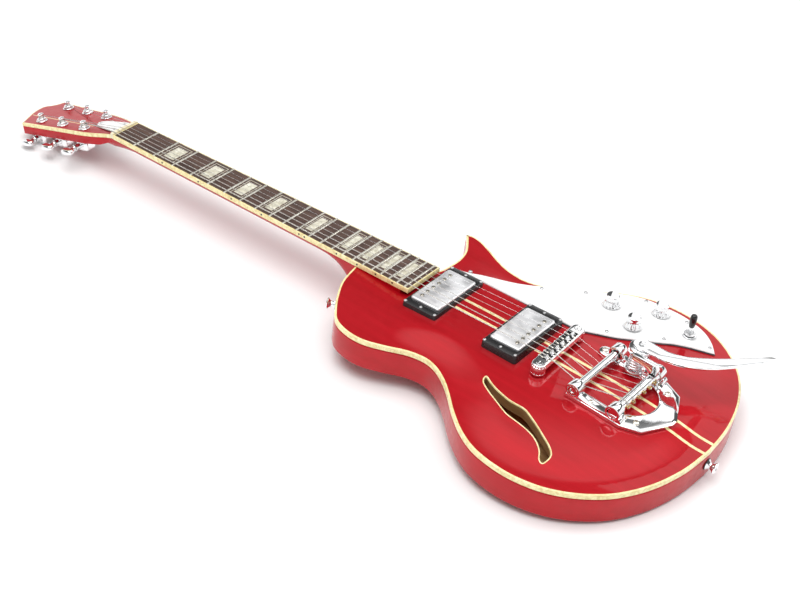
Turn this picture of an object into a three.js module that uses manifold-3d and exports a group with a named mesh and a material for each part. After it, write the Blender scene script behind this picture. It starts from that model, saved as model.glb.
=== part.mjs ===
// Single-cutaway semi-hollow electric guitar, as an assembly of separate solids.
// Millimetres. Origin on the flat back of the body, under the bridge line and on the centreline.
// +X towards the treble side, +Y towards the headstock, +Z out of the arched top.

import * as THREE from 'three';
import { mergeVertices } from 'three/addons/utils/BufferGeometryUtils.js';
import Module from 'manifold-3d';

// ---- Driving dimensions ----
const SCALE_LENGTH = 628.65;
const FRET_COUNT = 22;
const NECK_ANGLE = 3.5;            // degrees between the fret plane and the back of the body
const HEAD_ANGLE = 13.5;           // degrees between the headstock face and the fret plane
const RIM_HEIGHT = 37;             // back to the edge of the top
const ARCH_RISE = 9;               // crown of the top above its edge
const RECURVE_WIDTH = 45;          // the arch fades out over this distance from the edge
const TOP_PLATE = 6;               // thickness of the top at its edge
const FRET_PLANE_AT_BRIDGE = 59.4; // height of the fret plane above the back, at the bridge line
const GAP = 0.3;                   // clearance between pieces that touch

const STRING_COUNT = 6;
const STRING_RADII = [0.585, 0.455, 0.33, 0.215, 0.165, 0.15];
const STRING_SPAN_AT_NUT = 35;
const STRING_SPAN_AT_BRIDGE = 51.5;
const STRING_ABOVE_NUT = 0.9;
const STRING_ABOVE_BRIDGE = 2.5;   // string centre above the fret plane at the bridge

const BOARD_THICKNESS = 5.6;
const BOARD_END = 170.5;           // distance of the board's body end from the bridge line
const BOARD_WIDTH_AT_NUT = 43;
const BOARD_WIDTH_AT_END = 57;
const FRET_HEIGHT = 1;
const NUT_LENGTH = 4.6;

const NECK_DEPTH_AT_NUT = 14;      // neck wood only, under the fretboard
const NECK_DEPTH_AT_HEEL = 16;
const NECK_ROUNDNESS = 1.5;        // 2 would be a half ellipse, 1 a plain V
const SHAFT_START = 248;            // the neck's round back starts here, clear of the body
const NECK_POCKET_WIDTH = 44;
const TENON_END = 172;
const TENON_FLOOR = 14;            // height of the tenon's underside above the back

const TRUSS_ROD_RADIUS = 2.6;
const TRUSS_ROD_REACH = [205, 622];

const HEAD_THICKNESS = 14.5;
const POST_ROWS = [49.6, 87, 124.6];   // distance of each tuner post from the nut
const POST_SPREAD = [18.8, 21, 22.4];  // half distance between the two posts of a row
const TUNER_AXIS_DEPTH = 20.5;         // worm shaft below the headstock face
const BUTTON_REACH = 46.5;               // key centre from the centreline

const NECK_PICKUP_Y = 143.5;
const BRIDGE_PICKUP_Y = 39;
const RING_SIZE = [92, 46];
const PICKUP_SIZE = [69.5, 37.5];

const BRIDGE_Y = -6.5;
const BRIDGE_SLANT = 2.2;          // degrees, the bass end further from the nut
const BRIDGE_POST_X = 38.5;
const BRIDGE_BEAM_TOP = 59.6;
const BRIDGE_BEAM_HEIGHT = 7.5;
const BRIDGE_BEAM_WIDTH = 15;

const ROLLER_Y = -55;
const SHAFT_Y = -103;
const AXLE_Z = 56;
const ROLLER_RADIUS = 4.5;
const SHAFT_RADIUS = 5.5;
const BARREL_RADIUS = 8.5;
const RAIL_X = 41;
const RAIL_WIDTH = 12;
const SPRING_XY = [38, -78];
const SPRING_BASE_Z = 52;
const SPRING_TOP_Z = 66;
const ARM_PIVOT = [46, -77];
const BRACKET_TOP_Z = 73.5;
const ARM_THICKNESS = 3;

const KNOB_CENTRES = [[116, 0], [99, -38], [146, -46]];
const KNOB_RADIUS = 10.5;
const KNOB_HEIGHT = 13;
const SWITCH_CENTRE = [137, -88];
const PICKGUARD_THICKNESS = 2.6;
const PICKGUARD_GAP = 0.5;

const STRAP_BUTTON_Z = 18.5;
const UPPER_STRAP_BUTTON = [-75, 228.5];
const TAIL_STRAP_BUTTON = [0, -196];

// ---- Colours ----
const RED = { color: 0xa8101c, roughness: 0.15, metalness: 0.3 };
const CREAM = { color: 0xf2e6bd, roughness: 0.35, metalness: 0 };
const ROSEWOOD = { color: 0x3a2420, roughness: 0.55, metalness: 0 };
const CHROME = { color: 0xd8dade, roughness: 0.1, metalness: 1 };
const SATIN_CHROME = { color: 0xc4c6ca, roughness: 0.28, metalness: 1 };
const STEEL = { color: 0xb4b6b8, roughness: 0.3, metalness: 1 };
const BRASS = { color: 0xb08a44, roughness: 0.35, metalness: 1 };
const BLACK = { color: 0x151516, roughness: 0.3, metalness: 0 };
const WHITE = { color: 0xf6f6f4, roughness: 0.25, metalness: 0 };

const radians = THREE.MathUtils.degToRad;

// ---- Solids ----
const wasm = await Module();
wasm.setup();

function signedVolume(geometry) {
  const index = geometry.index;
  const position = geometry.attributes.position;
  const corners = [new THREE.Vector3(), new THREE.Vector3(), new THREE.Vector3()];
  let volume = 0;
  for (let i = 0; i < index.count; i += 3) {
    corners.forEach((corner, k) => corner.fromBufferAttribute(position, index.getX(i + k)));
    volume += corners[0].dot(corners[1].clone().cross(corners[2])) / 6;
  }
  return volume;
}

function solid(geometry) {
  const bare = geometry.clone();
  bare.deleteAttribute('normal');
  bare.deleteAttribute('uv');
  const merged = mergeVertices(bare, 1e-4);
  const triangles = Array.from(merged.index.array);
  if (signedVolume(merged) < 0) {
    for (let i = 0; i < triangles.length; i += 3) {
      [triangles[i], triangles[i + 1]] = [triangles[i + 1], triangles[i]];
    }
  }
  return new wasm.Manifold(new wasm.Mesh({
    numProp: 3,
    vertProperties: new Float32Array(merged.attributes.position.array),
    triVerts: new Uint32Array(triangles),
  }));
}

function join(...solids) {
  return solids.reduce((whole, next) => whole.add(next));
}

function cut(whole, ...tools) {
  return tools.reduce((rest, tool) => rest.subtract(tool), whole);
}

function moved(geometry, x, y, z) {
  return geometry.translate(x, y, z);
}

function box(xs, ys, zs) {
  const geometry = new THREE.BoxGeometry(xs[1] - xs[0], ys[1] - ys[0], zs[1] - zs[0]);
  return solid(moved(geometry, (xs[0] + xs[1]) / 2, (ys[0] + ys[1]) / 2, (zs[0] + zs[1]) / 2));
}

// A round rod between two heights along 'x', 'y' or 'z', centred on the other two coordinates.
function rod(axis, radius, from, to, centre, sides = 14, radiusAtEnd = radius) {
  const geometry = new THREE.CylinderGeometry(radiusAtEnd, radius, to - from, sides);
  const middle = (from + to) / 2;
  if (axis === 'x') return solid(moved(geometry.rotateZ(-Math.PI / 2), middle, centre[0], centre[1]));
  if (axis === 'y') return solid(moved(geometry, centre[0], middle, centre[1]));
  return solid(moved(geometry.rotateX(Math.PI / 2), centre[0], centre[1], middle));
}

// A turned piece on a vertical axis: the profile lists [radius, height] from axis to axis.
function turned(profile, centre, sides = 16) {
  const points = profile.map(([radius, height]) => new THREE.Vector2(radius, height));
  return solid(moved(new THREE.LatheGeometry(points, sides).rotateX(Math.PI / 2), ...centre));
}

function plate(shape, low, high, curveSegments = 3) {
  const geometry = new THREE.ExtrudeGeometry(shape, {
    depth: high - low,
    bevelEnabled: false,
    curveSegments,
  });
  return solid(moved(geometry, 0, 0, low));
}

function vectors(points) {
  return points.map(([x, y]) => new THREE.Vector2(x, y));
}

// A closed outline of smooth runs that meet at corners: each run lists the points after its start.
function outline(start, runs) {
  const shape = new THREE.Shape();
  shape.moveTo(...start);
  for (const run of runs) {
    if (run.length === 1) shape.lineTo(...run[0]);
    else shape.splineThru(vectors(run));
  }
  return shape;
}

function roundedRectangle(width, length, radius, centreX = 0, centreY = 0) {
  const shape = new THREE.Shape();
  const x = width / 2 - radius;
  const y = length / 2 - radius;
  shape.absarc(centreX + x, centreY - y, radius, -Math.PI / 2, 0);
  shape.absarc(centreX + x, centreY + y, radius, 0, Math.PI / 2);
  shape.absarc(centreX - x, centreY + y, radius, Math.PI / 2, Math.PI);
  shape.absarc(centreX - x, centreY - y, radius, Math.PI, Math.PI * 1.5);
  return shape;
}

// A wire that runs straight between its bends.
class BentWire extends THREE.Curve {
  constructor(bends) {
    super();
    this.bends = bends;
  }

  getPoint(t) {
    const place = Math.min(Math.max(t, 0), 1) * (this.bends.length - 1);
    const index = Math.min(Math.floor(place), this.bends.length - 2);
    return this.bends[index].clone().lerp(this.bends[index + 1], place - index);
  }

  getUtoTmapping(u) {
    return u;
  }
}

function circle(radius, sides) {
  const shape = new THREE.Shape();
  for (let i = 0; i < sides; i++) {
    const angle = (i / sides) * 2 * Math.PI;
    const point = [radius * Math.cos(angle), radius * Math.sin(angle)];
    if (i === 0) shape.moveTo(...point);
    else shape.lineTo(...point);
  }
  return shape;
}

function tube(path, radius, steps, sides) {
  return solid(new THREE.ExtrudeGeometry(circle(radius, sides), {
    steps,
    extrudePath: path,
    curveSegments: 1,
  }));
}

// ---- Scene graph ----
const guitar = new THREE.Group();

// The neck group holds the fret plane: z = 0 on the fret tops, y = 0 at the bridge line.
const neckGroup = new THREE.Group();
neckGroup.position.set(0, 0, FRET_PLANE_AT_BRIDGE);
neckGroup.rotation.x = -radians(NECK_ANGLE);
guitar.add(neckGroup);

// The head group holds the headstock face: z = 0 on the face, y = 0 at the nut.
const HEAD_ORIGIN = [0, SCALE_LENGTH + NUT_LENGTH, -3];
const headGroup = new THREE.Group();
headGroup.position.set(...HEAD_ORIGIN);
headGroup.rotation.x = -radians(HEAD_ANGLE);
neckGroup.add(headGroup);

// The bridge group turns the bridge about its middle, so that the bass strings speak longer.
const bridgeGroup = new THREE.Group();
bridgeGroup.position.set(0, BRIDGE_Y, 0);
bridgeGroup.rotation.z = radians(BRIDGE_SLANT);
guitar.add(bridgeGroup);
guitar.updateMatrixWorld(true);

function addPiece(name, manifold, look, parent = guitar) {
  const result = manifold.getMesh();
  const geometry = new THREE.BufferGeometry();
  geometry.setAttribute('position', new THREE.BufferAttribute(result.vertProperties, 3));
  geometry.setIndex(new THREE.BufferAttribute(result.triVerts, 1));
  geometry.computeVertexNormals();
  const mesh = new THREE.Mesh(geometry, new THREE.MeshStandardMaterial(look));
  mesh.name = name;
  parent.add(mesh);
  return mesh;
}

// A solid built in the guitar's frame, brought into a turned group.
function inGroupFrame(manifold, group) {
  return manifold.transform(group.matrixWorld.clone().invert().toArray());
}

// ---- Body outline and arch ----
const BODY_NECK_END = 244;
const LOWER_BOUT = [
  [42, -192.5], [84, -181.5], [120, -163], [145, -140], [163, -113], [172.5, -85],
  [175, -56], [170.5, -25], [159, 0], [141, 24], [121.5, 45], [108, 62],
];
const BASS_UPPER_BOUT = [
  [-99, 79], [-96.5, 95], [-101, 114], [-112, 136], [-120.5, 158], [-121, 179],
  [-114, 199], [-96, 215], [-75, 228.5], [-55, 238], [-28, BODY_NECK_END],
];
const HORN_OUTER = [
  [98, 80], [92.5, 99], [94, 121], [100, 139], [108, 156], [115, 173], [117, 186], [114, 195],
];
const HORN_INNER = [[103, 186.5], [87, 176.5], [70, 172], [52, 172], [36, 174.5], [27, 181]];

function bodyOutline() {
  const bassLowerBout = LOWER_BOUT.map(([x, y]) => [-x, y]);
  const trebleSide = [...LOWER_BOUT, ...HORN_OUTER].reverse();
  return outline([0, -196], [
    [...bassLowerBout, ...BASS_UPPER_BOUT],
    [[27, BODY_NECK_END]],
    [[27, 181]],
    [...HORN_INNER].reverse().slice(1).concat([[114, 195]]),
    trebleSide.slice(1).concat([[0, -196]]),
  ]);
}

const BODY_SHAPE = bodyOutline();
const EDGE_POINTS = BODY_SHAPE.getPoints(4);

function distanceToEdge(x, y) {
  const point = new THREE.Vector3(x, y, 0);
  const nearest = new THREE.Vector3();
  let best = Infinity;
  EDGE_POINTS.forEach((from, i) => {
    const to = EDGE_POINTS[(i + 1) % EDGE_POINTS.length];
    const edge = new THREE.Line3(new THREE.Vector3(from.x, from.y, 0), new THREE.Vector3(to.x, to.y, 0));
    edge.closestPointToPoint(point, true, nearest);
    best = Math.min(best, nearest.distanceTo(point));
  });
  return best;
}

// Height of the arched top above the back: an elliptical crown that fades to flat at the edge.
const CROWN_CENTRE_Y = -30;
const CROWN_HALF_WIDTH = 170;
const CROWN_REACH_TO_NECK = 212;
const CROWN_REACH_TO_TAIL = 150;
const CROWN_FULLNESS = 0.72;

function topHeight(x, y) {
  const along = y - CROWN_CENTRE_Y;
  const reach = along > 0 ? CROWN_REACH_TO_NECK : CROWN_REACH_TO_TAIL;
  const crown = Math.max(0, 1 - (x / CROWN_HALF_WIDTH) ** 2 - (along / reach) ** 2) ** CROWN_FULLNESS;
  const fade = THREE.MathUtils.smoothstep(distanceToEdge(x, y), 0, RECURVE_WIDTH);
  return RIM_HEIGHT + ARCH_RISE * crown * fade;
}

// Everything under the top's surface, on a square grid.
const GRID = { x: [-182, 182], y: [-210, 252], cell: 26 };

function underTopGeometry(bottom) {
  const width = GRID.x[1] - GRID.x[0];
  const length = GRID.y[1] - GRID.y[0];
  const geometry = new THREE.BoxGeometry(
    width, length, 1, Math.round(width / GRID.cell), Math.round(length / GRID.cell), 1);
  moved(geometry, (GRID.x[0] + GRID.x[1]) / 2, (GRID.y[0] + GRID.y[1]) / 2, 0);
  const position = geometry.attributes.position;
  for (let i = 0; i < position.count; i++) {
    const isTop = position.getZ(i) > 0;
    position.setZ(i, isTop ? topHeight(position.getX(i), position.getY(i)) : bottom);
  }
  return geometry;
}

const UNDER_TOP = solid(underTopGeometry(RIM_HEIGHT - TOP_PLATE - 20));

function underTop(raise) {
  return UNDER_TOP.translate([0, 0, raise]);
}

// A sheet that follows the top, between two heights above it.
function followsTop(shape, low, high) {
  return plate(shape, RIM_HEIGHT - 10, RIM_HEIGHT + 60).intersect(underTop(high)).subtract(underTop(low));
}

// ---- Neck ----
function boardHalfWidth(y) {
  const t = (SCALE_LENGTH - y) / (SCALE_LENGTH - BOARD_END);
  return THREE.MathUtils.lerp(BOARD_WIDTH_AT_NUT, BOARD_WIDTH_AT_END, t) / 2;
}

const BOARD_TOP = -FRET_HEIGHT;
const BOARD_BOTTOM = BOARD_TOP - BOARD_THICKNESS;
const NECK_TOP = BOARD_BOTTOM - GAP;

// The neck's section for a half width and a depth of 1: flat on top, a soft V underneath.
function neckSection(steps = 14) {
  const power = 2 / NECK_ROUNDNESS;
  const points = [];
  for (let i = 0; i <= steps; i++) {
    const angle = Math.PI * (i / steps - 1);
    const across = Math.cos(angle);
    const down = Math.abs(Math.sin(angle)) ** power;
    points.push(new THREE.Vector2(Math.sign(across) * Math.abs(across) ** power, -down));
  }
  return new THREE.Shape(points);
}

// A taper between two sections across the neck, each { y, half, depth }.
function neckStretch(near, far) {
  const length = far.y - near.y;
  const geometry = new THREE.ExtrudeGeometry(neckSection(), { depth: length, steps: 1, bevelEnabled: false });
  const position = geometry.attributes.position;
  for (let i = 0; i < position.count; i++) {
    const t = position.getZ(i) / length;
    const half = THREE.MathUtils.lerp(near.half, far.half, t);
    const depth = THREE.MathUtils.lerp(near.depth, far.depth, t);
    position.setXYZ(i, position.getX(i) * half, near.y + t * length, NECK_TOP + position.getY(i) * depth);
  }
  return solid(geometry);
}

function headShape() {
  return outline([-21.5, 0], [
    [[-22, 8], [-25.5, 21], [-29.5, 42], [-32, 78], [-34.5, 113], [-37, 146]],
    [[-24, 152.5], [-6, 160.5], [8, 163.5], [16, 162], [21, 156.5], [27, 151.5], [36, 148.5]],
    [[33.5, 113], [31.5, 80], [29, 44], [25.5, 22], [22, 8], [21.5, 0]],
  ]);
}

function neckShaftAndHead() {
  const nutEnd = { y: HEAD_ORIGIN[1] - 2, half: BOARD_WIDTH_AT_NUT / 2 - 0.2, depth: NECK_DEPTH_AT_NUT };
  const heelEnd = { y: SHAFT_START, half: boardHalfWidth(SHAFT_START) - 0.2, depth: NECK_DEPTH_AT_HEEL };
  const shaft = neckStretch(heelEnd, nutEnd);
  const head = plate(headShape(), -HEAD_THICKNESS, 0, 2).transform(headGroup.matrix.toArray());
  const volute = neckStretch(
    { y: nutEnd.y - 14, half: nutEnd.half - 1, depth: NECK_DEPTH_AT_NUT - 0.5 },
    { y: nutEnd.y + 24, half: nutEnd.half - 5, depth: NECK_DEPTH_AT_NUT + 5 });
  const aboveHead = box([-60, 60], [-5, 200], [0, 60]).transform(headGroup.matrix.toArray());
  return join(shaft, cut(volute, aboveHead), head);
}

// The heel and tenon stand upright in the guitar's frame, so that they drop into the body's pocket.
function heelAndTenon() {
  const heel = new THREE.Shape();
  heel.moveTo(TENON_END, TENON_FLOOR);
  heel.lineTo(BODY_NECK_END + 2 * GAP, TENON_FLOOR);
  heel.lineTo(BODY_NECK_END + 2 * GAP, 6);
  heel.lineTo(251, 6);
  heel.splineThru(vectors([[258, 14], [265, 21], [275, 26], [288, 29.5], [300, 31]]));
  heel.lineTo(300, 60);
  heel.lineTo(TENON_END, 60);
  const width = NECK_POCKET_WIDTH - 2 * GAP;
  const geometry = new THREE.ExtrudeGeometry(heel, { depth: width, bevelEnabled: false, curveSegments: 6 });
  geometry.rotateX(Math.PI / 2).rotateZ(Math.PI / 2);
  return solid(moved(geometry, -width / 2, 0, 0));
}

function boardShape(inset, from, to) {
  const near = boardHalfWidth(from) - inset;
  const far = boardHalfWidth(to) - inset;
  return outline([-near, from], [[[near, from]], [[far, to]], [[-far, to]], [[-near, from]]]);
}

// The neck's shoulders fill the space between the fretboard and the body's top.
function neckShoulders() {
  const slab = plate(boardShape(0.2, TENON_END + 1, SHAFT_START + 1), NECK_TOP - 14, NECK_TOP);
  return cut(slab, inGroupFrame(underTop(GAP), neckGroup));
}

function neck() {
  const aboveNeck = box([-60, 60], [100, HEAD_ORIGIN[1] - 0.1], [NECK_TOP, 60]);
  const rodChannel = box(
    [-TRUSS_ROD_RADIUS - GAP, TRUSS_ROD_RADIUS + GAP],
    [TRUSS_ROD_REACH[0] - GAP, TRUSS_ROD_REACH[1] + 9],
    [NECK_TOP - 2 * TRUSS_ROD_RADIUS - 2 * GAP, NECK_TOP + 12]);
  const tunerHoles = tunerPlaces().map(({ x, y }) => {
    return rod('z', TUNER_SLEEVE_RADIUS + GAP, -30, 5, [x, y]).transform(headGroup.matrix.toArray());
  });
  const whole = join(neckShaftAndHead(), neckShoulders(), inGroupFrame(heelAndTenon(), neckGroup));
  return cut(whole, aboveNeck, rodChannel, ...tunerHoles);
}

function fretboard() {
  const slab = plate(boardShape(0, BOARD_END, SCALE_LENGTH - GAP), BOARD_BOTTOM, BOARD_TOP);
  const frets = [];
  for (let fret = 1; fret <= FRET_COUNT; fret++) {
    const y = SCALE_LENGTH * 2 ** (-fret / 12);
    const half = boardHalfWidth(y) - 1.2;
    frets.push(box([-half, half], [y - 1.2, y + 1.2], [BOARD_TOP - 1, 0]));
  }
  return join(slab, ...frets);
}

function trussRod() {
  const centre = [0, NECK_TOP - TRUSS_ROD_RADIUS - GAP];
  return join(
    rod('y', TRUSS_ROD_RADIUS, ...TRUSS_ROD_REACH, centre, 12),
    rod('y', TRUSS_ROD_RADIUS, TRUSS_ROD_REACH[1] - 1, TRUSS_ROD_REACH[1] + 8, centre, 6));
}

function trussRodCover() {
  const shape = outline([-13, 1], [
    [[-12, 12], [-8, 22], [-5, 34], [-2.5, 42], [0, 43.5], [2.5, 42], [5, 34], [8, 22], [12, 12], [13, 1]],
    [[-13, 1]],
  ]);
  return plate(shape, GAP, 2, 4);
}

function stringX(string, span) {
  return span * (string / (STRING_COUNT - 1) - 0.5);
}

function nut() {
  const half = BOARD_WIDTH_AT_NUT / 2 - 0.3;
  const top = STRING_ABOVE_NUT - STRING_RADII[0] - GAP;
  return box([-half, half], [SCALE_LENGTH + 0.1, HEAD_ORIGIN[1] - 0.4], [NECK_TOP + GAP, top]);
}

// ---- Tuners ----
const TUNER_SLEEVE_RADIUS = 4.6;
const POST_RADIUS = 3;
const POST_HOLE_Z = 6;
const GEAR_RADIUS = 3.9;
const WORM_RADIUS = 1.8;
const WORM_OFFSET = GEAR_RADIUS + WORM_RADIUS + GAP;

// From the low string's post round to the high string's, as the strings meet them.
function tunerPlaces() {
  const bass = POST_ROWS.map((y, i) => ({ x: -POST_SPREAD[i], y, side: -1 }));
  const treble = POST_ROWS.map((y, i) => ({ x: POST_SPREAD[i], y, side: 1 })).reverse();
  return [...bass, ...treble];
}

function span(side, near, far) {
  return side > 0 ? [near, far] : [-far, -near];
}

function tunerHousing({ x, y, side }) {
  const low = -HEAD_THICKNESS - 13;
  const high = -HEAD_THICKNESS - GAP;
  const middle = y + WORM_OFFSET / 2;
  const block = plate(roundedRectangle(17, 19, 4, x, middle), low, high, 1);
  const sleeve = rod('z', TUNER_SLEEVE_RADIUS, high - 1, 1, [x, y], 10);
  const washer = rod('z', 7.2, GAP, 1.4, [x, y], 10);
  const hexNut = rod('z', 6.4, 1.2, 3.8, [x, y], 6);
  const collar = rod('x', 3.6, ...span(side, Math.abs(x) + 6, 35), [y + WORM_OFFSET, -TUNER_AXIS_DEPTH], 8);
  const postBore = rod('z', POST_RADIUS + GAP, low + 1.5, 10, [x, y], 10);
  const gearRoom = rod('z', GEAR_RADIUS + 2 * GAP, -24, -17, [x, y], 10);
  const wormBore = rod('x', WORM_RADIUS + GAP, ...span(side, Math.abs(x) - 7, 40),
    [y + WORM_OFFSET, -TUNER_AXIS_DEPTH], 8);
  return cut(join(block, sleeve, washer, hexNut, collar), postBore, gearRoom, wormBore);
}

function tunerPost() {
  const shank = rod('z', POST_RADIUS, -25.5, 8.2, [0, 0], 10);
  const cap = rod('z', POST_RADIUS + 0.8, 8, 10.2, [0, 0], 10, POST_RADIUS);
  const gear = rod('z', GEAR_RADIUS, -23.5, -17.5, [0, 0], 10);
  const stringHole = rod('x', 0.9, -6, 6, [0, POST_HOLE_Z], 4);
  return cut(join(shank, cap, gear), stringHole);
}

// The worm shaft lies on the local X axis and the key is at its outer end.
function tunerButton(postDistance) {
  const shaft = rod('x', WORM_RADIUS, postDistance - 6, BUTTON_REACH - 4, [0, 0], 8);
  const collar = rod('x', 3.2, 35.6, BUTTON_REACH - 5, [0, 0], 10);
  const key = plate(roundedRectangle(13, 19, 5.5, BUTTON_REACH, 0), -3.2, 3.2, 3);
  return join(shaft, collar, key);
}

// ---- Pickups ----
function pickupRing(centreY, top) {
  const ring = plate(roundedRectangle(...RING_SIZE, 4, 0, centreY), top - 25, top, 3);
  const window = plate(roundedRectangle(PICKUP_SIZE[0] + 1, PICKUP_SIZE[1] + 1, 3, 0, centreY), -60, 20, 3);
  return cut(ring, window, inGroupFrame(underTop(GAP), neckGroup));
}

function pickup(centreY, top, low) {
  return plate(roundedRectangle(...PICKUP_SIZE, 3, 0, centreY), low, top, 3);
}

// ---- Controls ----
const CAVITY_CENTRE = [125, -45];

// The outline of the control cavity, drawn larger for the ledge that its cover sits on.
function cavityShape(enlarged = 1) {
  const points = [
    [112, 16], [130, 12], [147, -12], [160, -40], [161, -72], [150, -100], [134, -104],
    [112, -78], [86, -50], [84, -26], [98, 6],
  ].map(([x, y]) => [
    CAVITY_CENTRE[0] + (x - CAVITY_CENTRE[0]) * enlarged,
    CAVITY_CENTRE[1] + (y - CAVITY_CENTRE[1]) * enlarged,
  ]);
  return outline(points[0], [[...points.slice(1), points[0]]]);
}

function controlPlate() {
  const top = RIM_HEIGHT - TOP_PLATE - GAP;
  const sheet = plate(cavityShape(0.9), top - 1.5, top, 3);
  const pots = KNOB_CENTRES.map((centre) => rod('z', 10, 17, top - 1, centre, 12));
  const bores = KNOB_CENTRES.map((centre) => rod('z', 3 + GAP, 20, top + 5, centre, 10));
  const switchHole = rod('z', 11, 0, 50, SWITCH_CENTRE, 16);
  return cut(join(sheet, ...pots), ...bores, switchHole);
}

function knob([x, y]) {
  const foot = topHeight(x, y) + PICKGUARD_GAP + PICKGUARD_THICKNESS + 2.2;
  const skirt = turned([
    [0, 0], [KNOB_RADIUS, 0], [KNOB_RADIUS, 1.5], [KNOB_RADIUS - 3, 6],
    [KNOB_RADIUS - 3.4, KNOB_HEIGHT - 0.8], [KNOB_RADIUS - 4.2, KNOB_HEIGHT], [0, KNOB_HEIGHT],
  ], [x, y, foot]);
  return join(skirt, rod('z', 3, 21, foot + 1, [x, y], 10));
}

const SWITCH_PIVOT_Z = 40;
const SWITCH_NUT_TOP = 47.4;

function switchBody() {
  const washer = rod('z', 8, 43.9, 44.9, SWITCH_CENTRE);
  const nutRing = rod('z', 6.2, 44.5, SWITCH_NUT_TOP, SWITCH_CENTRE);
  const bush = rod('z', 5.4, 20, 45, SWITCH_CENTRE);
  const frame = box(
    [SWITCH_CENTRE[0] - 6, SWITCH_CENTRE[0] + 6],
    [SWITCH_CENTRE[1] - 9, SWITCH_CENTRE[1] + 9],
    [10, 26]);
  const mouth = rod('z', 2.6, SWITCH_PIVOT_Z - 6, SWITCH_NUT_TOP + 0.1, SWITCH_CENTRE, 20, 4.7);
  return cut(join(washer, nutRing, bush, frame), mouth);
}

// The lever stands upright on its pivot in its own frame.
function switchLever() {
  const stem = rod('z', 1.6, -2, 16, [0, 0], 8);
  const tip = turned([[0, 0], [2.9, 0], [3.7, 3], [4, 12], [3, 15.4], [0, 16.6]], [0, 0, 15], 14);
  return join(stem, tip);
}

// ---- Body ----
function chamberShape() {
  const points = [[-70, 46], [-100, 40], [-136, 8], [-150, -40], [-146, -90], [-112, -138],
    [-66, -150], [-64, -90], [-62, -20]];
  return outline(points[0], [[...points.slice(1), points[0]]]);
}

function soundHoleShape() {
  return outline([-77, 28.6], [
    [[-87, 27], [-96, 14], [-103, -1], [-108, -12], [-111.5, -20]],
    [[-113, -32], [-115, -46], [-120, -61], [-130, -74], [-139.6, -80], [-142.7, -87]],
    [[-128, -88], [-118.5, -80.5], [-109, -65], [-99, -47], [-91, -30]],
    [[-91.5, -21], [-91.4, -10], [-88.5, 3], [-84.5, 15], [-77, 28.6]],
  ]);
}

function neckPocket() {
  const half = NECK_POCKET_WIDTH / 2;
  return box([-half, half], [TENON_END - GAP, 260], [TENON_FLOOR - GAP, 70]);
}

function pickupWell(centreY, floor) {
  const [width, length] = [PICKUP_SIZE[0] + 3, PICKUP_SIZE[1] + 6];
  return box([-width / 2, width / 2], [centreY - length / 2, centreY + length / 2], [floor, 70]);
}

function postHoles() {
  return [-1, 1].map((side) => {
    return rod('z', 3.8 + GAP, 24, 60, [side * BRIDGE_POST_X, 0], 16).transform(bridgeGroup.matrix.toArray());
  });
}

const JACK_Y = -70;
const JACK_Z = 16;
const JACK_FACE_X = 175.3;

function body() {
  const block = plate(BODY_SHAPE, 0, RIM_HEIGHT - TOP_PLATE - GAP);
  const wiring = box([-70, 92], [30, 40], [16, 24]);
  const jackHole = rod('x', 5.6 + GAP, 140, 190, [JACK_Y, JACK_Z]);
  return cut(
    block,
    neckPocket(),
    pickupWell(NECK_PICKUP_Y, 12),
    pickupWell(BRIDGE_PICKUP_Y, 12),
    plate(chamberShape(), 6, 60, 4),
    plate(cavityShape(), -1, 60, 4),
    plate(cavityShape(1.115), -1, 3, 4),
    wiring,
    jackHole,
    ...postHoles());
}

function bodyTop() {
  const sheet = plate(BODY_SHAPE, RIM_HEIGHT - TOP_PLATE, 80).intersect(underTop(0));
  const shafts = KNOB_CENTRES.map((centre) => rod('z', 4.5, 20, 60, centre, 12));
  return cut(
    sheet,
    neckPocket(),
    pickupWell(NECK_PICKUP_Y, 12),
    pickupWell(BRIDGE_PICKUP_Y, 12),
    plate(soundHoleShape(), 20, 60, 4),
    rod('z', 5.4 + GAP, 20, 60, SWITCH_CENTRE, 16),
    ...shafts,
    ...postHoles());
}

function pickguardShape() {
  return outline([49.5, 161], [
    [[54.8, 140], [64.5, 119], [73.6, 103], [85, 87.5], [100, 70], [118, 48], [137, 22], [151, 3],
      [162, -20], [166, -48], [166, -70], [160, -94], [149, -111], [134.5, -123.5]],
    [[118, -97], [109, -84], [99, -73], [79, -48], [69, -35], [59, -17], [50, 0]],
    [[48.5, 30]],
    [[48.5, 150]],
    [[49.5, 161]],
  ]);
}

function pickguard() {
  const sheet = followsTop(pickguardShape(), PICKGUARD_GAP, PICKGUARD_GAP + PICKGUARD_THICKNESS);
  const shafts = KNOB_CENTRES.map((centre) => rod('z', 4.5, 20, 60, centre, 12));
  const switchHole = rod('z', 5.4 + GAP, 20, 60, SWITCH_CENTRE, 16);
  return cut(sheet, ...shafts, switchHole);
}

function outputJack() {
  const flange = rod('x', 10.5, JACK_FACE_X, JACK_FACE_X + 1.8, [JACK_Y, JACK_Z]);
  const sleeve = rod('x', 5.6, 156, JACK_FACE_X + 1, [JACK_Y, JACK_Z], 12);
  const socket = rod('x', 3.25, 158, 180, [JACK_Y, JACK_Z], 12);
  return cut(join(flange, sleeve), socket);
}

// A turned strap button on the local Z axis, its foot at z = 0.
function strapButton() {
  const profile = [[0, 0], [6.2, 0], [5, 2], [3.4, 4.5], [4.2, 7.5], [6.6, 9.6], [5.9, 11], [0, 11]];
  return turned(profile, [0, 0, 0], 14);
}

// ---- Bridge ----
function bridgePost(side) {
  const centre = [side * BRIDGE_POST_X, 0];
  const foot = topHeight(centre[0], BRIDGE_Y) + 2 * GAP;
  const beamUnderside = BRIDGE_BEAM_TOP - BRIDGE_BEAM_HEIGHT;
  return join(
    rod('z', 3.8, 26, BRIDGE_BEAM_TOP + 0.8, centre, 16),
    rod('z', 6.2, foot, beamUnderside - GAP, centre),
    rod('z', 8, beamUnderside - 3, beamUnderside - 1, centre));
}

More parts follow.
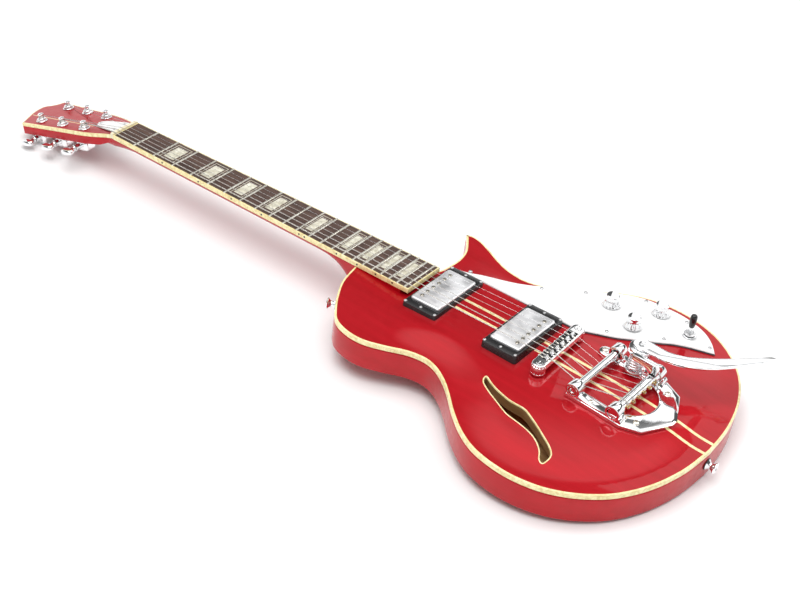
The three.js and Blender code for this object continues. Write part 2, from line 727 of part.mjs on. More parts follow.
const TROUGH = { half: 30.5, wide: 10.8, depth: 5 };

function bridgeBeam() {
  const whole = plate(
    roundedRectangle(2 * BRIDGE_POST_X + 14, BRIDGE_BEAM_WIDTH, 6.8),
    BRIDGE_BEAM_TOP - BRIDGE_BEAM_HEIGHT, BRIDGE_BEAM_TOP, 5);
  const trough = box(
    [-TROUGH.half, TROUGH.half],
    [-TROUGH.wide / 2, TROUGH.wide / 2],
    [BRIDGE_BEAM_TOP - TROUGH.depth, 70]);
  const holes = [-1, 1].map((side) => rod('z', 3.8 + GAP, 40, 70, [side * BRIDGE_POST_X, 0], 16));
  return cut(whole, trough, ...holes);
}

const STRING_AT_BRIDGE_Z = FRET_PLANE_AT_BRIDGE + STRING_ABOVE_BRIDGE;

// A saddle with a roof-shaped crest just under its string.
function saddle(string) {
  const crest = STRING_AT_BRIDGE_Z - STRING_RADII[string] - 0.6;
  const low = BRIDGE_BEAM_TOP - TROUGH.depth + GAP;
  const profile = outline([-2.8, low], [[[2.8, low]], [[2.8, crest - 3]], [[0.5, crest]], [[-0.5, crest]],
    [[-2.8, crest - 3]], [[-2.8, low]]]);
  const geometry = new THREE.ExtrudeGeometry(profile, { depth: 7.2, bevelEnabled: false });
  geometry.rotateX(Math.PI / 2).rotateZ(Math.PI / 2);
  return solid(moved(geometry, stringX(string, STRING_SPAN_AT_BRIDGE) - 3.6, 0, 0));
}

// ---- Vibrato tailpiece ----
const BASE_OUTER = [[47, -48], [47, -114], [38, -135], [4, -152]];

function horseshoeShape() {
  const shape = new THREE.Shape();
  shape.moveTo(-35, -48);
  for (const [x, y] of BASE_OUTER) shape.lineTo(-x, y);
  for (const [x, y] of [...BASE_OUTER].reverse()) shape.lineTo(x, y);
  shape.lineTo(35, -48);
  shape.lineTo(32, -48);
  shape.lineTo(32, -96);
  shape.absarc(0, -96, 31, 0, -Math.PI, true);
  shape.lineTo(-32, -48);
  return shape;
}

function vibratoBase() {
  const sheet = followsTop(horseshoeShape(), GAP, 4.2);
  const trebleEar = followsTop(roundedRectangle(15, 18, 7, RAIL_X, -43), GAP, 4.2);
  const inner = RAIL_X - RAIL_WIDTH / 2;
  const outer = RAIL_X + RAIL_WIDTH / 2;
  const sides = [-1, 1].map((side) => join(
    cut(box(span(side, inner + 0.5, outer - 0.5), [-108, -50], [30, 51]), underTop(GAP)),
    rod('x', BARREL_RADIUS, ...span(side, inner, outer), [ROLLER_Y, AXLE_Z]),
    rod('x', BARREL_RADIUS, ...span(side, inner, outer), [SHAFT_Y, AXLE_Z])));
  const springCup = rod('z', 11.5, 49, SPRING_BASE_Z - GAP, SPRING_XY);
  const bores = [
    rod('x', 2.5 + GAP, -60, 60, [ROLLER_Y, AXLE_Z], 16),
    rod('x', SHAFT_RADIUS + GAP, -60, 60, [SHAFT_Y, AXLE_Z]),
  ];
  return cut(join(sheet, trebleEar, springCup, ...sides), ...bores);
}

function tensionRoller() {
  const inner = RAIL_X - RAIL_WIDTH / 2 - GAP;
  return join(
    rod('x', ROLLER_RADIUS, -inner, inner, [ROLLER_Y, AXLE_Z], 18),
    rod('x', 2.5, -RAIL_X - 5, RAIL_X + 5, [ROLLER_Y, AXLE_Z], 12));
}

// The shaft that holds the ball ends, with the bracket that the arm is mounted on.
function stringShaft() {
  const shaft = rod('x', SHAFT_RADIUS, -RAIL_X - 5, RAIL_X + 5, [SHAFT_Y, AXLE_Z]);
  const pins = [];
  for (let string = 0; string < STRING_COUNT; string++) {
    const x = stringX(string, STRING_SPAN_AT_BRIDGE);
    pins.push(rod('y', 1.1, SHAFT_Y - SHAFT_RADIUS - 3, SHAFT_Y, [x, AXLE_Z], 8));
  }
  const collar = rod('x', SHAFT_RADIUS + 1.5, 28.6, 34.6, [SHAFT_Y, AXLE_Z]);
  const bracketSide = new THREE.Shape();
  bracketSide.moveTo(SHAFT_Y - 3, AXLE_Z + 5);
  bracketSide.splineThru(vectors([[-108, 66], [-104, BRACKET_TOP_Z]]));
  bracketSide.lineTo(-77, BRACKET_TOP_Z);
  bracketSide.lineTo(-77, SPRING_TOP_Z + GAP);
  bracketSide.splineThru(vectors([[-90, 66], [-97, 62], [-100, AXLE_Z + 2]]));
  const webGeometry = new THREE.ExtrudeGeometry(bracketSide, {
    depth: 6,
    bevelEnabled: false,
    curveSegments: 4,
  });
  webGeometry.rotateX(Math.PI / 2).rotateZ(Math.PI / 2);
  const web = solid(moved(webGeometry, 28.6, 0, 0));
  const seat = rod('z', 13, SPRING_TOP_Z + GAP, BRACKET_TOP_Z, ARM_PIVOT);
  return join(shaft, ...pins, collar, web, seat);
}

class ConicalHelix extends THREE.Curve {
  getPoint(t) {
    const angle = t * 2 * Math.PI * 4;
    const radius = THREE.MathUtils.lerp(8.6, 6.6, t);
    const z = THREE.MathUtils.lerp(SPRING_BASE_Z + 1.2, SPRING_TOP_Z - 1.2, t);
    return new THREE.Vector3(
      SPRING_XY[0] + radius * Math.cos(angle), SPRING_XY[1] + radius * Math.sin(angle), z);
  }
}

function vibratoSpring() {
  return tube(new ConicalHelix(), 1.05, 36, 5);
}

// A flat arm that leaves its pivot towards the tail and sweeps out over the treble side.
function vibratoArm() {
  const low = BRACKET_TOP_Z + GAP;
  const blade = outline([38, -77], [
    [[39.5, -92], [41.5, -109], [48, -127.5], [56.5, -140], [68, -151.5], [94.5, -171.5], [123, -190.5]],
    [[127.5, -192], [130.5, -189], [128.5, -184.5]],
    [[104, -163.5], [86, -147], [71, -131], [61, -117], [55.5, -101], [56.5, -77]],
    [[38, -77]],
  ]);
  return join(
    plate(blade, low, low + ARM_THICKNESS, 2),
    rod('z', 9.5, low, low + ARM_THICKNESS, ARM_PIVOT),
    rod('z', 4, low + 1, low + ARM_THICKNESS + 2, ARM_PIVOT, 12));
}

// ---- Strings ----
function guitarString(index) {
  const radius = STRING_RADII[index];
  const place = tunerPlaces()[index];
  const post = new THREE.Vector3(place.x - place.side * (POST_RADIUS + GAP + radius), place.y, POST_HOLE_Z)
    .applyMatrix4(headGroup.matrixWorld);
  const overNut = new THREE.Vector3(
    stringX(index, STRING_SPAN_AT_NUT), SCALE_LENGTH + NUT_LENGTH - 1, STRING_ABOVE_NUT,
  ).applyMatrix4(neckGroup.matrixWorld);
  const x = stringX(index, STRING_SPAN_AT_BRIDGE);
  const saddleY = BRIDGE_Y + x * Math.tan(radians(BRIDGE_SLANT));
  const overSaddle = new THREE.Vector3(x, saddleY, STRING_AT_BRIDGE_Z);
  const underRoller = new THREE.Vector3(x, ROLLER_Y, AXLE_Z - ROLLER_RADIUS - 0.5 - radius);
  const overShaft = new THREE.Vector3(x, SHAFT_Y + 1, AXLE_Z + SHAFT_RADIUS + 0.5 + radius);
  const bends = [post, overNut, overSaddle, underRoller, overShaft];
  return tube(new BentWire(bends), radius, bends.length - 1, 6);
}

// ---- Assembly ----
addPiece('body', body(), RED);
addPiece('body_top', bodyTop(), RED);
addPiece('neck', neck(), RED, neckGroup);
addPiece('fretboard', fretboard(), ROSEWOOD, neckGroup);
addPiece('nut', nut(), CREAM, neckGroup);
addPiece('truss_rod', trussRod(), STEEL, neckGroup);
addPiece('truss_rod_cover', trussRodCover(), WHITE, headGroup);

addPiece('pickguard', pickguard(), WHITE);
addPiece('neck_pickup_ring', pickupRing(NECK_PICKUP_Y, -4.8), BLACK, neckGroup);
addPiece('bridge_pickup_ring', pickupRing(BRIDGE_PICKUP_Y, -3.3), BLACK, neckGroup);
addPiece('neck_pickup', pickup(NECK_PICKUP_Y, -2, -24), SATIN_CHROME, neckGroup);
addPiece('bridge_pickup', pickup(BRIDGE_PICKUP_Y, -1.2, -24), SATIN_CHROME, neckGroup);

KNOB_CENTRES.forEach((centre, i) => addPiece(`knob_${i + 1}`, knob(centre), CHROME));
addPiece('control_plate', controlPlate(), STEEL);
addPiece('control_cover', plate(cavityShape(1.1), GAP, 2.6, 4), BLACK);
addPiece('switch_body', switchBody(), CHROME);
const lever = addPiece('switch_lever', switchLever(), BLACK);
lever.position.set(...SWITCH_CENTRE, SWITCH_PIVOT_Z);
addPiece('output_jack', outputJack(), CHROME);

addPiece('bridge_beam', bridgeBeam(), CHROME, bridgeGroup);
addPiece('bridge_post_bass', bridgePost(-1), CHROME, bridgeGroup);
addPiece('bridge_post_treble', bridgePost(1), CHROME, bridgeGroup);
for (let string = 0; string < STRING_COUNT; string++) {
  addPiece(`saddle_${string + 1}`, saddle(string), BRASS, bridgeGroup);
}

addPiece('vibrato_base', vibratoBase(), CHROME);
addPiece('tension_roller', tensionRoller(), CHROME);
addPiece('string_shaft', stringShaft(), CHROME);
addPiece('vibrato_spring', vibratoSpring(), STEEL);
addPiece('vibrato_arm', vibratoArm(), WHITE);

const upperButton = addPiece('strap_button_upper', strapButton(), CHROME);
const shoulderNormal = new THREE.Vector3(-23, 41, 0).normalize();
upperButton.position.set(...UPPER_STRAP_BUTTON, STRAP_BUTTON_Z).addScaledVector(shoulderNormal, GAP);
upperButton.quaternion.setFromUnitVectors(new THREE.Vector3(0, 0, 1), shoulderNormal);
const tailButton = addPiece('strap_button_tail', strapButton(), CHROME);
tailButton.position.set(TAIL_STRAP_BUTTON[0], TAIL_STRAP_BUTTON[1] - GAP, STRAP_BUTTON_Z);
tailButton.rotation.x = Math.PI / 2;

tunerPlaces().forEach((place, i) => {
  addPiece(`tuner_housing_${i + 1}`, tunerHousing(place), CHROME, headGroup);
  const post = addPiece(`tuner_post_${i + 1}`, tunerPost(), CHROME, headGroup);
  post.position.set(place.x, place.y, 0);
  const button = addPiece(`tuner_button_${i + 1}`, tunerButton(Math.abs(place.x)), CHROME, headGroup);
  button.position.set(0, place.y + WORM_OFFSET, -TUNER_AXIS_DEPTH);
  button.rotation.y = place.side > 0 ? 0 : Math.PI;
  addPiece(`string_${i + 1}`, guitarString(i), STEEL);
});

export default guitar;
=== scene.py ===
from functools import partial
from math import copysign, cos, dist, exp, pi, radians, sin, tan, tau

import bmesh
import bpy
import numpy as np
from mathutils import Matrix, Vector
from mathutils.geometry import delaunay_2d_cdt


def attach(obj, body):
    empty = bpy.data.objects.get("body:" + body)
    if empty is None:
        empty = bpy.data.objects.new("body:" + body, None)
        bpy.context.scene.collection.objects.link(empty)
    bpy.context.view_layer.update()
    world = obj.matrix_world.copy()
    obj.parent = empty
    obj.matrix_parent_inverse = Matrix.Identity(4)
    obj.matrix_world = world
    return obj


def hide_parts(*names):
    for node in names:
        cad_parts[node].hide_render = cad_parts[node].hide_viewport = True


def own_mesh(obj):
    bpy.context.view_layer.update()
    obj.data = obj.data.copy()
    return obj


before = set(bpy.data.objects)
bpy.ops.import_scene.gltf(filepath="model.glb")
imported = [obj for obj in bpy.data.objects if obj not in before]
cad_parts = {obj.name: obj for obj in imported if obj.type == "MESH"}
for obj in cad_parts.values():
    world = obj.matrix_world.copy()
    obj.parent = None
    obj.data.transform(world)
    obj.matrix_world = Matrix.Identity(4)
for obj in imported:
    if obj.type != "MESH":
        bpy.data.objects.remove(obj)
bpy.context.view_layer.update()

# Everything below is worked out in millimetres in the row frame, and brought to metres as it is made.
MM = 0.001

# ---- Driving dimensions, the same as the model's ----
SCALE_LENGTH = 628.65
FRET_COUNT = 22
FRET_PLANE_AT_BRIDGE = 59.4
NECK_ANGLE = radians(3.5)
HEAD_ANGLE = radians(13.5)
NUT_LENGTH = 4.6
STRING_AT_NUT_Z = 0.9
BOARD_END = 170.5
BOARD_HALF_AT_NUT = 21.5
BOARD_HALF_AT_END = 28.5
BOARD_TOP = -1.0
BOARD_BOTTOM = -6.6
NECK_TOP = -6.9
HEAD_THICKNESS = 14.5
BODY_NECK_END = 244.0
RIM_HEIGHT = 37.0
ARCH_RISE = 9.0
RECURVE_WIDTH = 45.0
CROWN_CENTRE_Y = -30.0
CROWN_HALF_WIDTH = 170.0
CROWN_REACH_TO_NECK = 212.0
CROWN_REACH_TO_TAIL = 150.0
CROWN_FULLNESS = 0.72
BINDING_HEIGHT = 5.6
BINDING_WIDTH = 2.2
SIDE_TOP = RIM_HEIGHT - BINDING_HEIGHT
COVER_LEDGE = 4.2
STRING_SPAN_AT_NUT = 35.0
STRING_SPAN_AT_BRIDGE = 51.5
STRING_RADII = [0.585, 0.455, 0.33, 0.215, 0.165, 0.15]
STRING_AT_BRIDGE_Z = 61.9
POST_ROWS = [49.6, 87.0, 124.6]
POST_SPREAD = [18.8, 21.0, 22.4]
POST_RADIUS = 2.6
WRAP_Z = 6.6
WRAP_TURNS = 3
WORM_OFFSET = 6.0
TUNER_AXIS_DEPTH = 20.5
BUTTON_REACH = 46.5
NECK_PICKUP_Y = 143.5
BRIDGE_PICKUP_Y = 39.0
PICKUP_SIZE = (69.5, 37.5)
RING_SIZE = (92.0, 46.0)
POLE_SPAN = 50.4
BRIDGE_Y = -6.5
BRIDGE_SLANT = radians(2.2)
BRIDGE_POST_X = 38.5
ROLLER_Y = -55.0
SHAFT_Y = -103.0
AXLE_Z = 56.0
RAIL_X = 41.0
RAIL_HALF = 6.0
PLATE_TOP = 4.2
ARM_PIVOT = (46.0, -77.0)
SPRING_XY = (38.0, -78.0)
KNOB_CENTRES = [(116, 0), (99, -38), (146, -46)]
SWITCH_CENTRE = (137.0, -88.0)
GUARD_TOP = 3.1
FLOOR_AT_TAIL = (0, -196, 0)
FLOOR_AT_HEAD = (0, 755, -48.6)


def at(x, y, z=0.0):
    return Matrix.Translation((x, y, z))


ROW = Matrix.Identity(4)
NECK = at(0, 0, FRET_PLANE_AT_BRIDGE) @ Matrix.Rotation(-NECK_ANGLE, 4, "X")
HEAD = NECK @ at(0, SCALE_LENGTH + NUT_LENGTH, -3) @ Matrix.Rotation(-HEAD_ANGLE, 4, "X")
BRIDGE = at(0, BRIDGE_Y) @ Matrix.Rotation(BRIDGE_SLANT, 4, "Z")

# These turn a piece that is made on the Z axis.
TO_X = Matrix.Rotation(pi / 2, 4, "Y")
TO_MINUS_X = Matrix.Rotation(pi, 4, "Z") @ TO_X
TO_Y = Matrix.Rotation(-pi / 2, 4, "X")
UPSIDE_DOWN = Matrix.Rotation(pi, 4, "X")


# ---- Materials ----
def colour_ramp(nodes, stops):
    ramp = nodes.new("ShaderNodeValToRGB")
    elements = ramp.color_ramp.elements
    while len(elements) < len(stops):
        elements.new(0.5)
    for element, (position, colour) in zip(elements, stops):
        element.position = position
        element.color = (*colour, 1)
    return ramp


class Look:
    """A material with procedural colour, roughness and bump, and the name of a slot that it keeps."""

    def __init__(self, name, slot=None, metallic=0.0, coat=0.0, coat_roughness=0.03):
        self.slot = slot or name
        self.material = bpy.data.materials.new(name)
        self.material.use_nodes = True
        self.tree = self.material.node_tree
        self.shader = self.tree.nodes["Principled BSDF"]
        self.fill(self.shader, {"Metallic": metallic, "Coat Weight": coat, "Coat Roughness": coat_roughness,
                                "IOR": 1.5})
        self.place = self.tree.nodes.new("ShaderNodeTexCoord").outputs["Object"]

    def fill(self, node, inputs):
        """Links an input where its value is a socket, and sets it otherwise."""
        for key, value in inputs.items():
            if isinstance(value, bpy.types.NodeSocket):
                self.tree.links.new(value, node.inputs[key])
            else:
                node.inputs[key].default_value = value
        return node

    def add(self, kind, inputs):
        return self.fill(self.tree.nodes.new("ShaderNode" + kind), inputs)

    def pattern(self, kind, scale, stretch, **inputs):
        mapping = self.add("Mapping", {"Vector": self.place, "Scale": stretch})
        return self.add(kind, {"Vector": mapping.outputs["Vector"], "Scale": scale, **inputs})

    def noise(self, scale, stretch=(1, 1, 1), detail=4.0, roughness=0.55, distortion=0.0):
        return self.pattern("TexNoise", scale, stretch, Detail=detail, Roughness=roughness,
                            Distortion=distortion).outputs["Fac"]

    def colours(self, factor, stops):
        ramp = self.fill(colour_ramp(self.tree.nodes, stops), {"Fac": factor})
        self.fill(self.shader, {"Base Color": ramp.outputs["Color"]})

    def roughness(self, factor, low, high):
        node = self.add("MapRange", {"Value": factor, "From Min": 0.3, "From Max": 0.7, "To Min": low,
                                     "To Max": high})
        self.fill(self.shader, {"Roughness": node.outputs["Result"]})

    def bump(self, height, distance, strength):
        node = self.add("Bump", {"Strength": strength, "Distance": distance, "Height": height})
        self.fill(self.shader, {"Normal": node.outputs["Normal"]})
        return self


def red_lacquer():
    look = Look("red_lacquer", metallic=0.4, coat=0.6, coat_roughness=0.02)
    look.shader.inputs["Specular IOR Level"].default_value = 0.12
    grain = look.noise(9, (14, 1, 14), detail=5)
    look.colours(grain, [(0.25, (0.42, 0.002, 0.007)), (0.6, (0.48, 0.003, 0.01)),
                         (0.85, (0.53, 0.005, 0.014))])
    look.roughness(look.noise(160), 0.34, 0.46)
    return look.bump(look.noise(55, detail=2), 0.0002, 0.06)


def pearloid(name, light, mid, dark):
    look = Look(name, "cream_plastic", coat=0.6, coat_roughness=0.05)
    cells = look.pattern("TexVoronoi", 170, (1, 1, 1)).outputs["Distance"]
    swirl = look.tree.nodes.new("ShaderNodeMath")
    swirl.operation = "MULTIPLY_ADD"
    look.fill(swirl, {0: cells, 1: 0.35, 2: look.noise(120, detail=6, distortion=2.4)})
    look.colours(swirl.outputs[0], [(0.42, light), (0.62, mid), (0.86, dark)])
    look.roughness(look.noise(90), 0.16, 0.3)
    return look.bump(look.noise(300), 0.0001, 0.1)


def rosewood():
    look = Look("rosewood", coat=0.1, coat_roughness=0.3)
    figure = look.noise(26, (9, 1, 9), detail=7, roughness=0.7)
    pores = look.noise(420, (6, 1, 6), detail=3)
    look.colours(figure, [(0.3, (0.03, 0.014, 0.01)), (0.55, (0.085, 0.042, 0.029)),
                          (0.8, (0.15, 0.08, 0.054))])
    look.roughness(pores, 0.42, 0.66)
    return look.bump(pores, 0.0003, 0.5)


def plain_wood(name, dark, light):
    look = Look(name, "rosewood")
    figure = look.noise(18, (8, 1, 8), detail=6, roughness=0.65)
    look.colours(figure, [(0.3, dark), (0.7, light)])
    look.roughness(figure, 0.6, 0.8)
    return look.bump(figure, 0.0004, 0.5)


def plastic(name, slot, low, high, rough, coat=0.5):
    look = Look(name, slot, coat=coat, coat_roughness=0.04)
    look.colours(look.noise(70, detail=3), [(0.35, low), (0.7, high)])
    look.roughness(look.noise(220), rough, rough + 0.1)
    return look.bump(look.noise(800, detail=2), 0.00005, 0.12)


def metal(name, slot, low, high, rough, stretch=(1, 1, 1), scratch=0.05):
    look = Look(name, slot, metallic=1.0)
    smudge = look.noise(45, detail=4)
    look.colours(smudge, [(0.3, low), (0.7, high)])
    look.roughness(smudge, rough, rough * 1.8 + 0.02)
    return look.bump(look.noise(900, stretch, detail=2), 0.00003, scratch)


def felt():
    look = Look("felt", "black_plastic")
    fibres = look.noise(900, detail=6, roughness=0.8)
    look.colours(fibres, [(0.3, (0.01, 0.01, 0.01)), (0.7, (0.045, 0.043, 0.042))])
    look.roughness(fibres, 0.85, 1.0)
    look.shader.inputs["Sheen Weight"].default_value = 0.3
    return look.bump(fibres, 0.0004, 0.8)


def wound_wire():
    look = Look("wound_wire", "string_steel", metallic=1.0)
    wave = look.pattern("TexWave", 900, (0, 1, 0))
    wave.bands_direction = "Y"
    look.colours(look.noise(200), [(0.3, (0.52, 0.5, 0.47)), (0.7, (0.72, 0.7, 0.66))])
    look.roughness(look.noise(400), 0.22, 0.36)
    return look.bump(wave.outputs["Fac"], 0.0001, 0.5)


RED = red_lacquer()
CREAM = pearloid("cream_pearl", (0.96, 0.88, 0.54), (0.91, 0.80, 0.42), (0.76, 0.62, 0.28))
PEARL = pearloid("block_pearl", (0.86, 0.84, 0.74), (0.74, 0.71, 0.58), (0.56, 0.52, 0.4))
ROSEWOOD = rosewood()
# The cavity wood is a lighter copy of the body's inner wood: painted light on the chamber floor and walls,
# which lie in shade
CAVITY_WOOD_PAINTED_LIGHT = plain_wood("cavity_wood_painted_light", (0.58, 0.33, 0.12), (0.78, 0.5, 0.22))
# The edge wood is a darker copy of the same wood: painted shade on the sound hole's inner wall
EDGE_WOOD_PAINTED_SHADE = plain_wood("edge_wood_painted_shade", (0.3, 0.15, 0.055), (0.44, 0.24, 0.1))
WHITE = plastic("white_plastic", None, (0.86, 0.86, 0.86), (0.92, 0.92, 0.92), 0.16)
GREY_EDGE = plastic("grey_edge", "black_plastic", (0.05, 0.05, 0.055), (0.12, 0.12, 0.13), 0.35, coat=0.1)
BLACK = plastic("black_plastic", None, (0.006, 0.006, 0.007), (0.016, 0.016, 0.017), 0.2, coat=0.15)
NUT_BONE = plastic("nut_bone", "cream_plastic", (0.78, 0.7, 0.48), (0.9, 0.84, 0.64), 0.3)
CHROME = metal("chrome", None, (0.84, 0.85, 0.86), (0.93, 0.93, 0.94), 0.03)
COVER_CHROME = metal("cover_chrome", "pickup_chrome", (0.9, 0.9, 0.92), (0.97, 0.97, 0.98), 0.3)
NICKEL = metal("nickel", "steel", (0.7, 0.66, 0.58), (0.84, 0.81, 0.74), 0.16)
FRET_WIRE = metal("fret_wire", "steel", (0.74, 0.71, 0.62), (0.86, 0.84, 0.76), 0.2, (30, 1, 30), 0.2)
STEEL = metal("steel", None, (0.5, 0.5, 0.5), (0.66, 0.66, 0.67), 0.24, (1, 20, 1), 0.2)
BRASS = metal("brass", "saddle_brass", (0.56, 0.38, 0.15), (0.74, 0.55, 0.26), 0.14)
PLAIN_WIRE = metal("plain_wire", "string_steel", (0.7, 0.7, 0.7), (0.84, 0.84, 0.84), 0.16, (1, 30, 1), 0.1)
WOUND_WIRE = wound_wire()
FELT = felt()
WIRES = [WOUND_WIRE] * 4 + [PLAIN_WIRE] * 2


# ---- Meshes: every builder returns (points, faces) in millimetres ----
def joined(*parts):
    points, faces = [], []
    for part_points, part_faces in parts:
        start = len(points)
        points += [Vector(p) for p in part_points]
        faces += [[start + i for i in face] for face in part_faces]
    return points, faces


def placed(part, matrix):
    return [matrix @ Vector(p) for p in part[0]], part[1]


def rings(loops, capped=True, closed=False):
    """A skin through loops that have the same number of points."""
    count, last = len(loops[0]), len(loops) - 1
    points = [Vector(p) for loop in loops for p in loop]
    faces = []
    for a in range(last + closed):
        b = (a + 1) % len(loops)
        for i in range(count):
            j = (i + 1) % count
            faces.append([a * count + i, a * count + j, b * count + j, b * count + i])
    if capped and not closed:
        faces += [list(range(count))[::-1], [last * count + i for i in range(count)]]
    return points, faces


def flat_loop(loop, height):
    return [(x, y, height) for x, y in loop]


def lifted(loop, height, extra=0.0):
    """The loop in space, with each point on a height function."""
    return [(x, y, height(x, y) + extra) for x, y in loop]


def cross_section(x, loop):
    """A loop of (y, z) pairs as a section at this x."""
    return [(x, y, z) for y, z in loop]


def polygon(radius, sides, turn=0.0, centre=(0, 0)):
    """A loop round a centre. radius is a number, or a function of the point's number."""
    radii = [radius(k) if callable(radius) else radius for k in range(sides)]
    return [(centre[0] + r * cos(turn + tau * k / sides), centre[1] + r * sin(turn + tau * k / sides))
            for k, r in enumerate(radii)]


def lathe(profile, segments=40):
    """A piece turned on the Z axis, from (radius, height) pairs that start and end on it or close up."""
    return rings([flat_loop(polygon(max(radius, 1e-4), segments), z) for radius, z in profile], False)


def disc(radius, low, high, bevel=0.3, segments=32, bore=0):
    """A round bar with softened rims on the Z axis, or a ring where there is a bore."""
    profile = [(bore, low), (radius - bevel, low), (radius, low + bevel), (radius, high - bevel),
               (radius - bevel, high), (bore, high)]
    return lathe(profile + [(bore, low)] * (bore > 0), segments)


def rounded_rectangle(width, length, radius, steps=6, centre=(0, 0)):
    loop = []
    for corner, (sx, sy) in enumerate([(1, -1), (1, 1), (-1, 1), (-1, -1)]):
        for k in range(steps + 1):
            angle = pi / 2 * (corner - 1 + k / steps)
            loop.append((sx * (width / 2 - radius) + radius * cos(angle) + centre[0],
                         sy * (length / 2 - radius) + radius * sin(angle) + centre[1]))
    return loop


def inset(loop, distance):
    """The loop moved inwards, with mitred corners; the loop runs anticlockwise."""
    points = np.array(loop, float)

    def unit(vectors):
        return vectors / np.maximum(np.linalg.norm(vectors, axis=1), 1e-9)[:, None]

    edges = unit(np.roll(points, -1, axis=0) - points)
    normal_after = np.stack([-edges[:, 1], edges[:, 0]], 1)
    normal = unit(np.roll(normal_after, 1, axis=0) + normal_after)
    stretch = np.clip(1 / np.maximum((normal * normal_after).sum(1), 0.5), 1, 2)
    return points + normal * (distance * stretch)[:, None]


def slab(loop, low, high, bevel=0.5, steps=3):
    """A plate with this outline, its upper and lower edges rounded."""
    angles = [pi / 2 * k / steps for k in range(steps + 1)]
    stations = [(bevel * (1 - sin(a)), low + bevel * (1 - cos(a))) for a in angles]
    stations += [(bevel * (1 - sin(a)), high - bevel * (1 - cos(a))) for a in angles[::-1]]
    return rings([flat_loop(inset(loop, d), z) for d, z in stations])


def block(xs, ys, zs, bevel=0.3):
    loop = [(xs[0], ys[0]), (xs[1], ys[0]), (xs[1], ys[1]), (xs[0], ys[1])]
    return slab(loop, *zs, bevel, 2)


def tube(path, radius, sides=10):
    """A round wire along the path."""
    points = [Vector(p) for p in path]
    loops = []
    side = None
    for i, point in enumerate(points):
        ahead = (points[min(i + 1, len(points) - 1)] - points[max(i - 1, 0)]).normalized()
        side = side or ahead.orthogonal().normalized()
        side = (side - ahead * side.dot(ahead)).normalized()
        other = ahead.cross(side)
        loops.append([point + radius * (x * side + y * other) for x, y in polygon(1, sides)])
    return rings(loops)


# ---- Pieces ----
def linked(name, data):
    obj = bpy.data.objects.new(name, data)
    bpy.context.scene.collection.objects.link(obj)
    return obj


def raw_object(name, part, matrix=ROW):
    mesh = bpy.data.meshes.new(name)
    mesh.from_pydata([(matrix @ Vector(p)) * MM for p in part[0]], [], part[1])
    work = bmesh.new()
    work.from_mesh(mesh)
    bmesh.ops.remove_doubles(work, verts=work.verts, dist=2e-6)
    bmesh.ops.dissolve_degenerate(work, edges=work.edges, dist=1e-6)
    bmesh.ops.recalc_face_normals(work, faces=work.faces)
    work.to_mesh(mesh)
    work.free()
    return linked(name, mesh)


def applied(obj):
    """Replaces the object's mesh with the result of its modifiers."""
    graph = bpy.context.evaluated_depsgraph_get()
    result = bpy.data.meshes.new_from_object(obj.evaluated_get(graph))
    obj.modifiers.clear()
    obj.data = result
    return obj


def carve(obj, tool, matrix=ROW):
    cutter = raw_object("cutter", tool, matrix)
    modifier = obj.modifiers.new("cut", "BOOLEAN")
    modifier.operation = "DIFFERENCE"
    modifier.solver = "EXACT"
    modifier.object = cutter
    applied(obj)
    bpy.data.objects.remove(cutter)
    return obj


def piece(name, part, look, body="guitar", matrix=ROW, cuts=(), bevel=0.0, replaces=None, angle=38,
          slot=None):
    """Makes a piece from parts in millimetres, cuts it, softens its edges, and lets it ride on its body."""
    obj = raw_object(name, part, matrix)
    for tool in cuts:
        carve(obj, tool, matrix)
    if bevel:
        modifier = obj.modifiers.new("bevel", "BEVEL")
        modifier.width = bevel * MM
        modifier.segments = 2
        modifier.limit_method = "ANGLE"
        modifier.angle_limit = radians(32)
        applied(obj)
    obj.data.materials.clear()
    obj.data.materials.append(look.material)
    obj.data.shade_smooth()
    obj.data.set_sharp_from_angle(angle=radians(angle))
    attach(obj, body)
    slot or look.slot
    if replaces:
        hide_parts(replaces)
    return obj


def crisp(name, part, look=CHROME, **how):
    """A piece of hardware that keeps more of its edges sharp."""
    return piece(name, part, look, angle=30, **how)


on_neck = partial(piece, matrix=NECK)
on_head = partial(piece, matrix=HEAD)


def screw(radius, height):
    """A domed screw head on the Z axis with a recess, standing on z = 0."""
    shares = [(1, 0.15), (0.86, 0.62), (0.55, 0.92), (0.36, 0.97), (0.3, 0.25), (0, 0.2)]
    return lathe([(0, -0.6), (radius, -0.6)] + [(radius * r, height * z) for r, z in shares], 20)


def copies(part, matrices):
    return joined(*[placed(part, matrix) for matrix in matrices])


def screws_at(radius, height, places):
    return copies(screw(radius, height), [at(*place) for place in places])


# ---- Outlines ----
def spline(points, steps):
    """A Catmull-Rom curve through the points, without the first one."""
    result = []
    last = len(points) - 1
    for i in range(last):
        p0, p1, p2, p3 = (np.array(points[max(0, min(last, k))], float) for k in (i - 1, i, i + 1, i + 2))
        v0, v1 = (p2 - p0) / 2, (p3 - p1) / 2
        cubic, square = 2 * p1 - 2 * p2 + v0 + v1, 3 * p2 - 3 * p1 - 2 * v0 - v1
        result += [tuple(cubic * t ** 3 + square * t ** 2 + v0 * t + p1)
                   for t in (k / steps for k in range(1, steps + 1))]
    return result


def outline(start, runs, steps=8):
    """A closed anticlockwise loop: a run of one point is a straight line, a longer run a smooth curve."""
    loop = [tuple(start)]
    for run in runs:
        loop += [tuple(run[0])] if len(run) == 1 else spline([loop[-1], *run], steps)
    if dist(loop[0], loop[-1]) < 1e-6:
        loop.pop()
    area = sum(a[0] * b[1] - b[0] * a[1] for a, b in zip(loop, loop[1:] + loop[:1]))
    return np.array(loop if area > 0 else loop[::-1])


